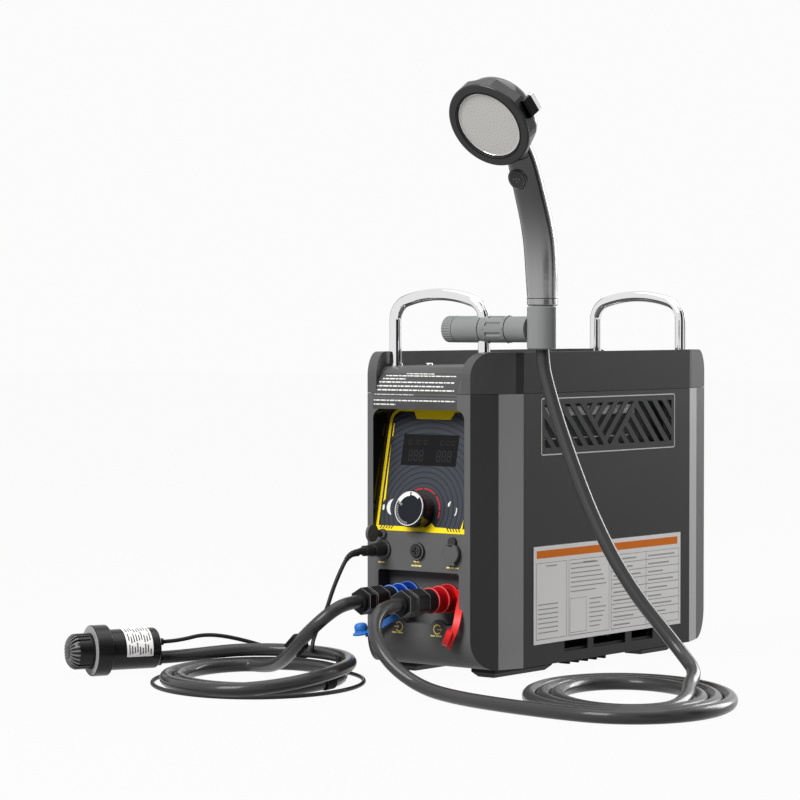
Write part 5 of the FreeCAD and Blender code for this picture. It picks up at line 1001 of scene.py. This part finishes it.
# ---- Hand shower
# Grip and head in dark metallic plating, painted lighter towards the foot as a painted reflection.
# The spray ring is satin black, the plate pierced steel with darker dots of painted shade for its
# holes, and the mode lever chrome, painted near black as shade except at its rear end.
handset_plating = finish("handset_plating", (0.055, 0.055, 0.057), 0.21, metal=0.75, coat=0.5,
                         size=500.0, depth=0.02, cloud=0.05, marks=0.04, on=["handset_body"])
HEAD_TILT = math.radians(32)
PAINTED_REFLECTION_TOP_Z, PAINTED_REFLECTION_FULL_Z, LEVER_UNSHADED_FROM = 0.470, 0.368, 0.0205
head_middle = Vector((HANDSET_X, -0.264, 0.5293))
spray_axis = Vector((0, -math.cos(HEAD_TILT), -math.sin(HEAD_TILT)))
head_up = spray_axis.cross(Vector((1, 0, 0)))
nodes, links, place = open_finish(handset_plating)
height = coordinate(nodes, links, place["Object"], "Z")
# Painted reflection: the plating colour turns lighter below the head, towards the foot.
two_colours(handset_plating, soft_edge(nodes, links, height, PAINTED_REFLECTION_TOP_Z, PAINTED_REFLECTION_FULL_Z),
            (0.30, 0.30, 0.305))
finish("ring_satin", (0.024, 0.024, 0.025), 0.30, metal=0.1, coat=0.2, size=900.0, depth=0.03,
       cloud=0.08, on=["spray_ring", "stop_button"])
lever_chrome = finish("lever_chrome", (0.80, 0.80, 0.81), 0.09, metal=1.0, size=300.0, depth=0.01,
                      cloud=0.02, marks=0.03, on=["mode_lever"])
# Painted shade: the lever is painted near black, and only its rear end stays bright chrome.
nodes, links, place = open_finish(lever_chrome)
behind = worked(nodes, links, "DOT_PRODUCT", place["Object"], -spray_axis,
                kind="ShaderNodeVectorMath")
unshaded_lever_end = worked(nodes, links, "GREATER_THAN", behind.outputs["Value"],
                    head_middle.dot(-spray_axis) + LEVER_UNSHADED_FROM)
two_colours(lever_chrome, unshaded_lever_end.outputs[0], (0.012, 0.012, 0.012), where_on=False)
finish("plate_steel", (0.50, 0.485, 0.47), 0.42, metal=0.35, size=1800.0, depth=0.05, cloud=0.05,
       marks=0.08, on=["spray_plate"])

plate_face = Surface(head_middle - spray_axis * 0.0025, (1, 0, 0), head_up, "handset")
HOLE_SPREAD, HOLE_TURN = 2.2, 2.399963
holes = []
for i in range(3, 190):
    reach, a = HOLE_SPREAD * math.sqrt(i), i * HOLE_TURN
    holes.append(bow(reach * math.cos(a), reach * math.sin(a), 0.36, 0, 360, 6)[:-1])
# Painted shade: the spray holes are darker dots on the steel plate.
plate_hole_shade = finish("plate_hole_shade", (0.16, 0.155, 0.15), 0.5, size=900.0)
mark("spray_holes", plate_face, holes, plate_hole_shade, height=0.03)
rim_ring("plate_rim", head_middle - spray_axis * 0.0022, spray_axis, 0.0326, 0.0004, chrome,
         "handset")
# Near black for the painted shade in the groove round the spray ring, and for the dark seams of the
# handset.
groove_shade_and_seams = finish("groove_shade_and_seams", (0.004, 0.004, 0.004), 0.3, size=900.0)
ring_face = Surface(head_middle, (1, 0, 0), head_up, "spray_selector")
mark("groove_shade_and_seams", ring_face, strip_of(bow(0, 0, 34.6, 0, 360, 72), 1.6), groove_shade_and_seams,
     height=0.04)
rim_ring("neck_seam", (HANDSET_X, -0.2134, 0.505), (0, -10.3, 17), 0.0131, 0.0005,
         groove_shade_and_seams, "handset")
rim_ring("foot_seam", (HANDSET_X, -0.1762, 0.3695), (0, 0, 1), 0.0143, 0.0005, groove_shade_and_seams,
         "handset")

BUTTON_Z, BUTTON_SEAT = 0.487, 0.01442
lower, upper = Vector((HANDSET_X, -0.1966, 0.470)), Vector((HANDSET_X, -0.2067, 0.494))
along = (upper - lower).normalized()
button_out = Vector((0, -along.z, along.y))
button_at = lower.lerp(upper, (BUTTON_Z - lower.z) / (upper.z - lower.z))
rim_ring("button_rim", button_at + button_out * 0.0144, button_out, 0.0098, 0.0006,
         handset_plating, "handset")
button_face = Surface(button_at + button_out * (BUTTON_SEAT + 0.0015), (1, 0, 0), along, "button")
mark("button_dots", button_face, [bow(x, y, 0.7, 0, 360, 10)[:-1]
                                  for x, y in ((-3.2, 0.6), (0, 1.2), (3.2, 0.6), (0, -1.8))],
     rim_highlight_and_icon_grey, height=0.05, thick=0.15)
# Painted highlight: a light grey bead round the edge of the button.
rim_ring("button_edge", button_at + button_out * (BUTTON_SEAT + 0.0011), button_out, 0.0083,
         0.0004, rim_highlight_and_icon_grey, "button")


# ---- Pump
# Submersible pump with a glossy black motor housing and a printed sleeve label. The strainer
# is pushed into a flange with a grey face, and its fins run together on the rounded end.
finish("pump_black", (0.006, 0.006, 0.0065), 0.26, size=900.0, depth=0.08, cloud=0.15, marks=0.08,
       level=0.25, on=["pump_body", "pump_strainer", "pump_impeller"])
pump_grey = finish("pump_grey", (0.30, 0.30, 0.30), 0.36, size=1000.0, depth=0.12, cloud=0.15)
# Painted highlight: the strainer fins are light grey where they catch the light.
fin_highlight_grey = finish("fin_highlight_grey", (0.16, 0.16, 0.16), 0.36, size=1000.0, depth=0.12, cloud=0.2)
pump_back = Vector((-0.232, -0.335, 0.025))
pump_axis = Vector((-0.44, -0.90, 0)).normalized()
pump_side = Vector((0.90, -0.44, 0)).normalized()


def on_pump(along, radius, degrees):
    """Point round the pump: millimetres from its back and from its axis, and the turn."""
    a = math.radians(degrees)
    out = pump_side * math.cos(a) + Vector((0, 0, 1)) * math.sin(a)
    return pump_back + (pump_axis * along + out * radius) / 1000


def pump_wrap(name, patches, radius, material):
    """Thin printed sheet on the round housing: patches of along and degrees."""
    points, faces = [], []
    for x0, x1, a0, a1 in patches:
        steps = max(2, int(abs(a1 - a0) / 5))
        first = len(points)
        for i in range(steps + 1):
            a = a0 + (a1 - a0) * i / steps
            points += [on_pump(x0, radius, a), on_pump(x1, radius, a)]
        faces += [(first + 2 * i, first + 2 * i + 2, first + 2 * i + 3, first + 2 * i + 1)
                  for i in range(steps)]
    return add_piece(name, soft_mesh(name, points, faces), material, "case")


pump_wrap("pump_label", [(9.5, 37, -17, 96)], 20.15, label_face)
strokes = []
for row in range(9):
    x = 11.5 + row * 2.75
    for start in range(3):
        low = -12 + start * 35 + (row * 7 + start * 5) % 9
        strokes.append((x, x + 1.3, low, low + 16 + (row * 5 + start * 11) % 14))
pump_wrap("pump_label_fields", strokes, 20.25, label_ink)
rings = [circle(on_pump(along, 0, 0), pump_side, Vector((0, 0, 1)), radius / 1000, 64)
         for along, radius in ((68.0, 17.8), (68.4, 17.8), (68.4, 23.9), (68.0, 24.4))]
add_piece("flange_face", ring_body("flange_face", rings, closed=True, creased=True), pump_grey,
          "case")
FINS, ROUND_FROM, ROUND_IN, ROUND = 24, 82.0, 8.5, 9.0
points, faces = [], []
for i in range(FINS):
    turn = 360 * (i + 0.5) / FINS
    track = [(ROUND_FROM + ROUND, 6.5), (ROUND_FROM + ROUND, ROUND_IN)]
    track += bow(ROUND_FROM, ROUND_IN, ROUND, 15, 75, 5)
    across = on_pump(0, 1, turn + 90) - on_pump(0, 0, 0)
    first = len(points)
    for step, (along, radius) in enumerate(track):
        width = 0.55 + 0.09 * step
        out = on_pump(along, 1 if radius >= 8.6 else 0, turn) - on_pump(along, 0, turn)
        nose = pump_axis * (0.001 if radius < 14 else 0)
        for lift, side in ((-0.5, -1), (0.45, -0.7), (0.45, 0.7), (-0.5, 1)):
            points.append(on_pump(along, radius, turn) + (out + nose).normalized() * lift * 0.001
                          + across * side * width)
    for step in range(len(track) - 1):
        for a in range(first + step * 4, first + step * 4 + 3):
            faces.append((a, a + 4, a + 5, a + 1))
add_piece("strainer_fins", soft_mesh("strainer_fins", points, faces, smooth=False), fin_highlight_grey,
          "case")
turned_piece("strainer_nose", on_pump(90.9, 0, 0), pump_axis,
             [(0, 0.0), (0, 0.0069), (0.0008, 0.0067), (0.0011, 0.0060), (0.0011, 0.0014),
              (0.0006, 0.0008), (0.0006, 0.0)], socket_black)


# ---- Inside
# Copper exchanger over a steel burner in a zinc plated frame, with the gas valve, the pipes,
# the fan and the circuit board.
finish("copper_sheet", (0.62, 0.27, 0.15), 0.34, metal=1.0, size=700.0, depth=0.08, cloud=0.25,
       marks=0.15, on=["heat_exchanger", "hot_water_pipe", "cold_water_pipes", "gas_pipe"])
finish("valve_alloy", (0.42, 0.42, 0.43), 0.48, metal=0.9, size=900.0, depth=0.2, cloud=0.15,
       marks=0.1, on=["gas_valve"])
finish("brass_turned", (0.66, 0.46, 0.17), 0.28, metal=1.0, size=1200.0, depth=0.05, cloud=0.15,
       marks=0.1, on=["gas_inlet_fitting"])
finish("board_green", (0.012, 0.075, 0.030), 0.35, size=600.0, depth=0.3, cloud=0.35, marks=0.1,
       on=["control_board"])
finish("inner_black", (0.018, 0.018, 0.019), 0.5, size=1100.0, depth=0.2, cloud=0.15,
       on=["fan_housing", "fan_wheel", "flow_sensor"])
dress(zinc, "burner", "flue_hood", "inner_frame")
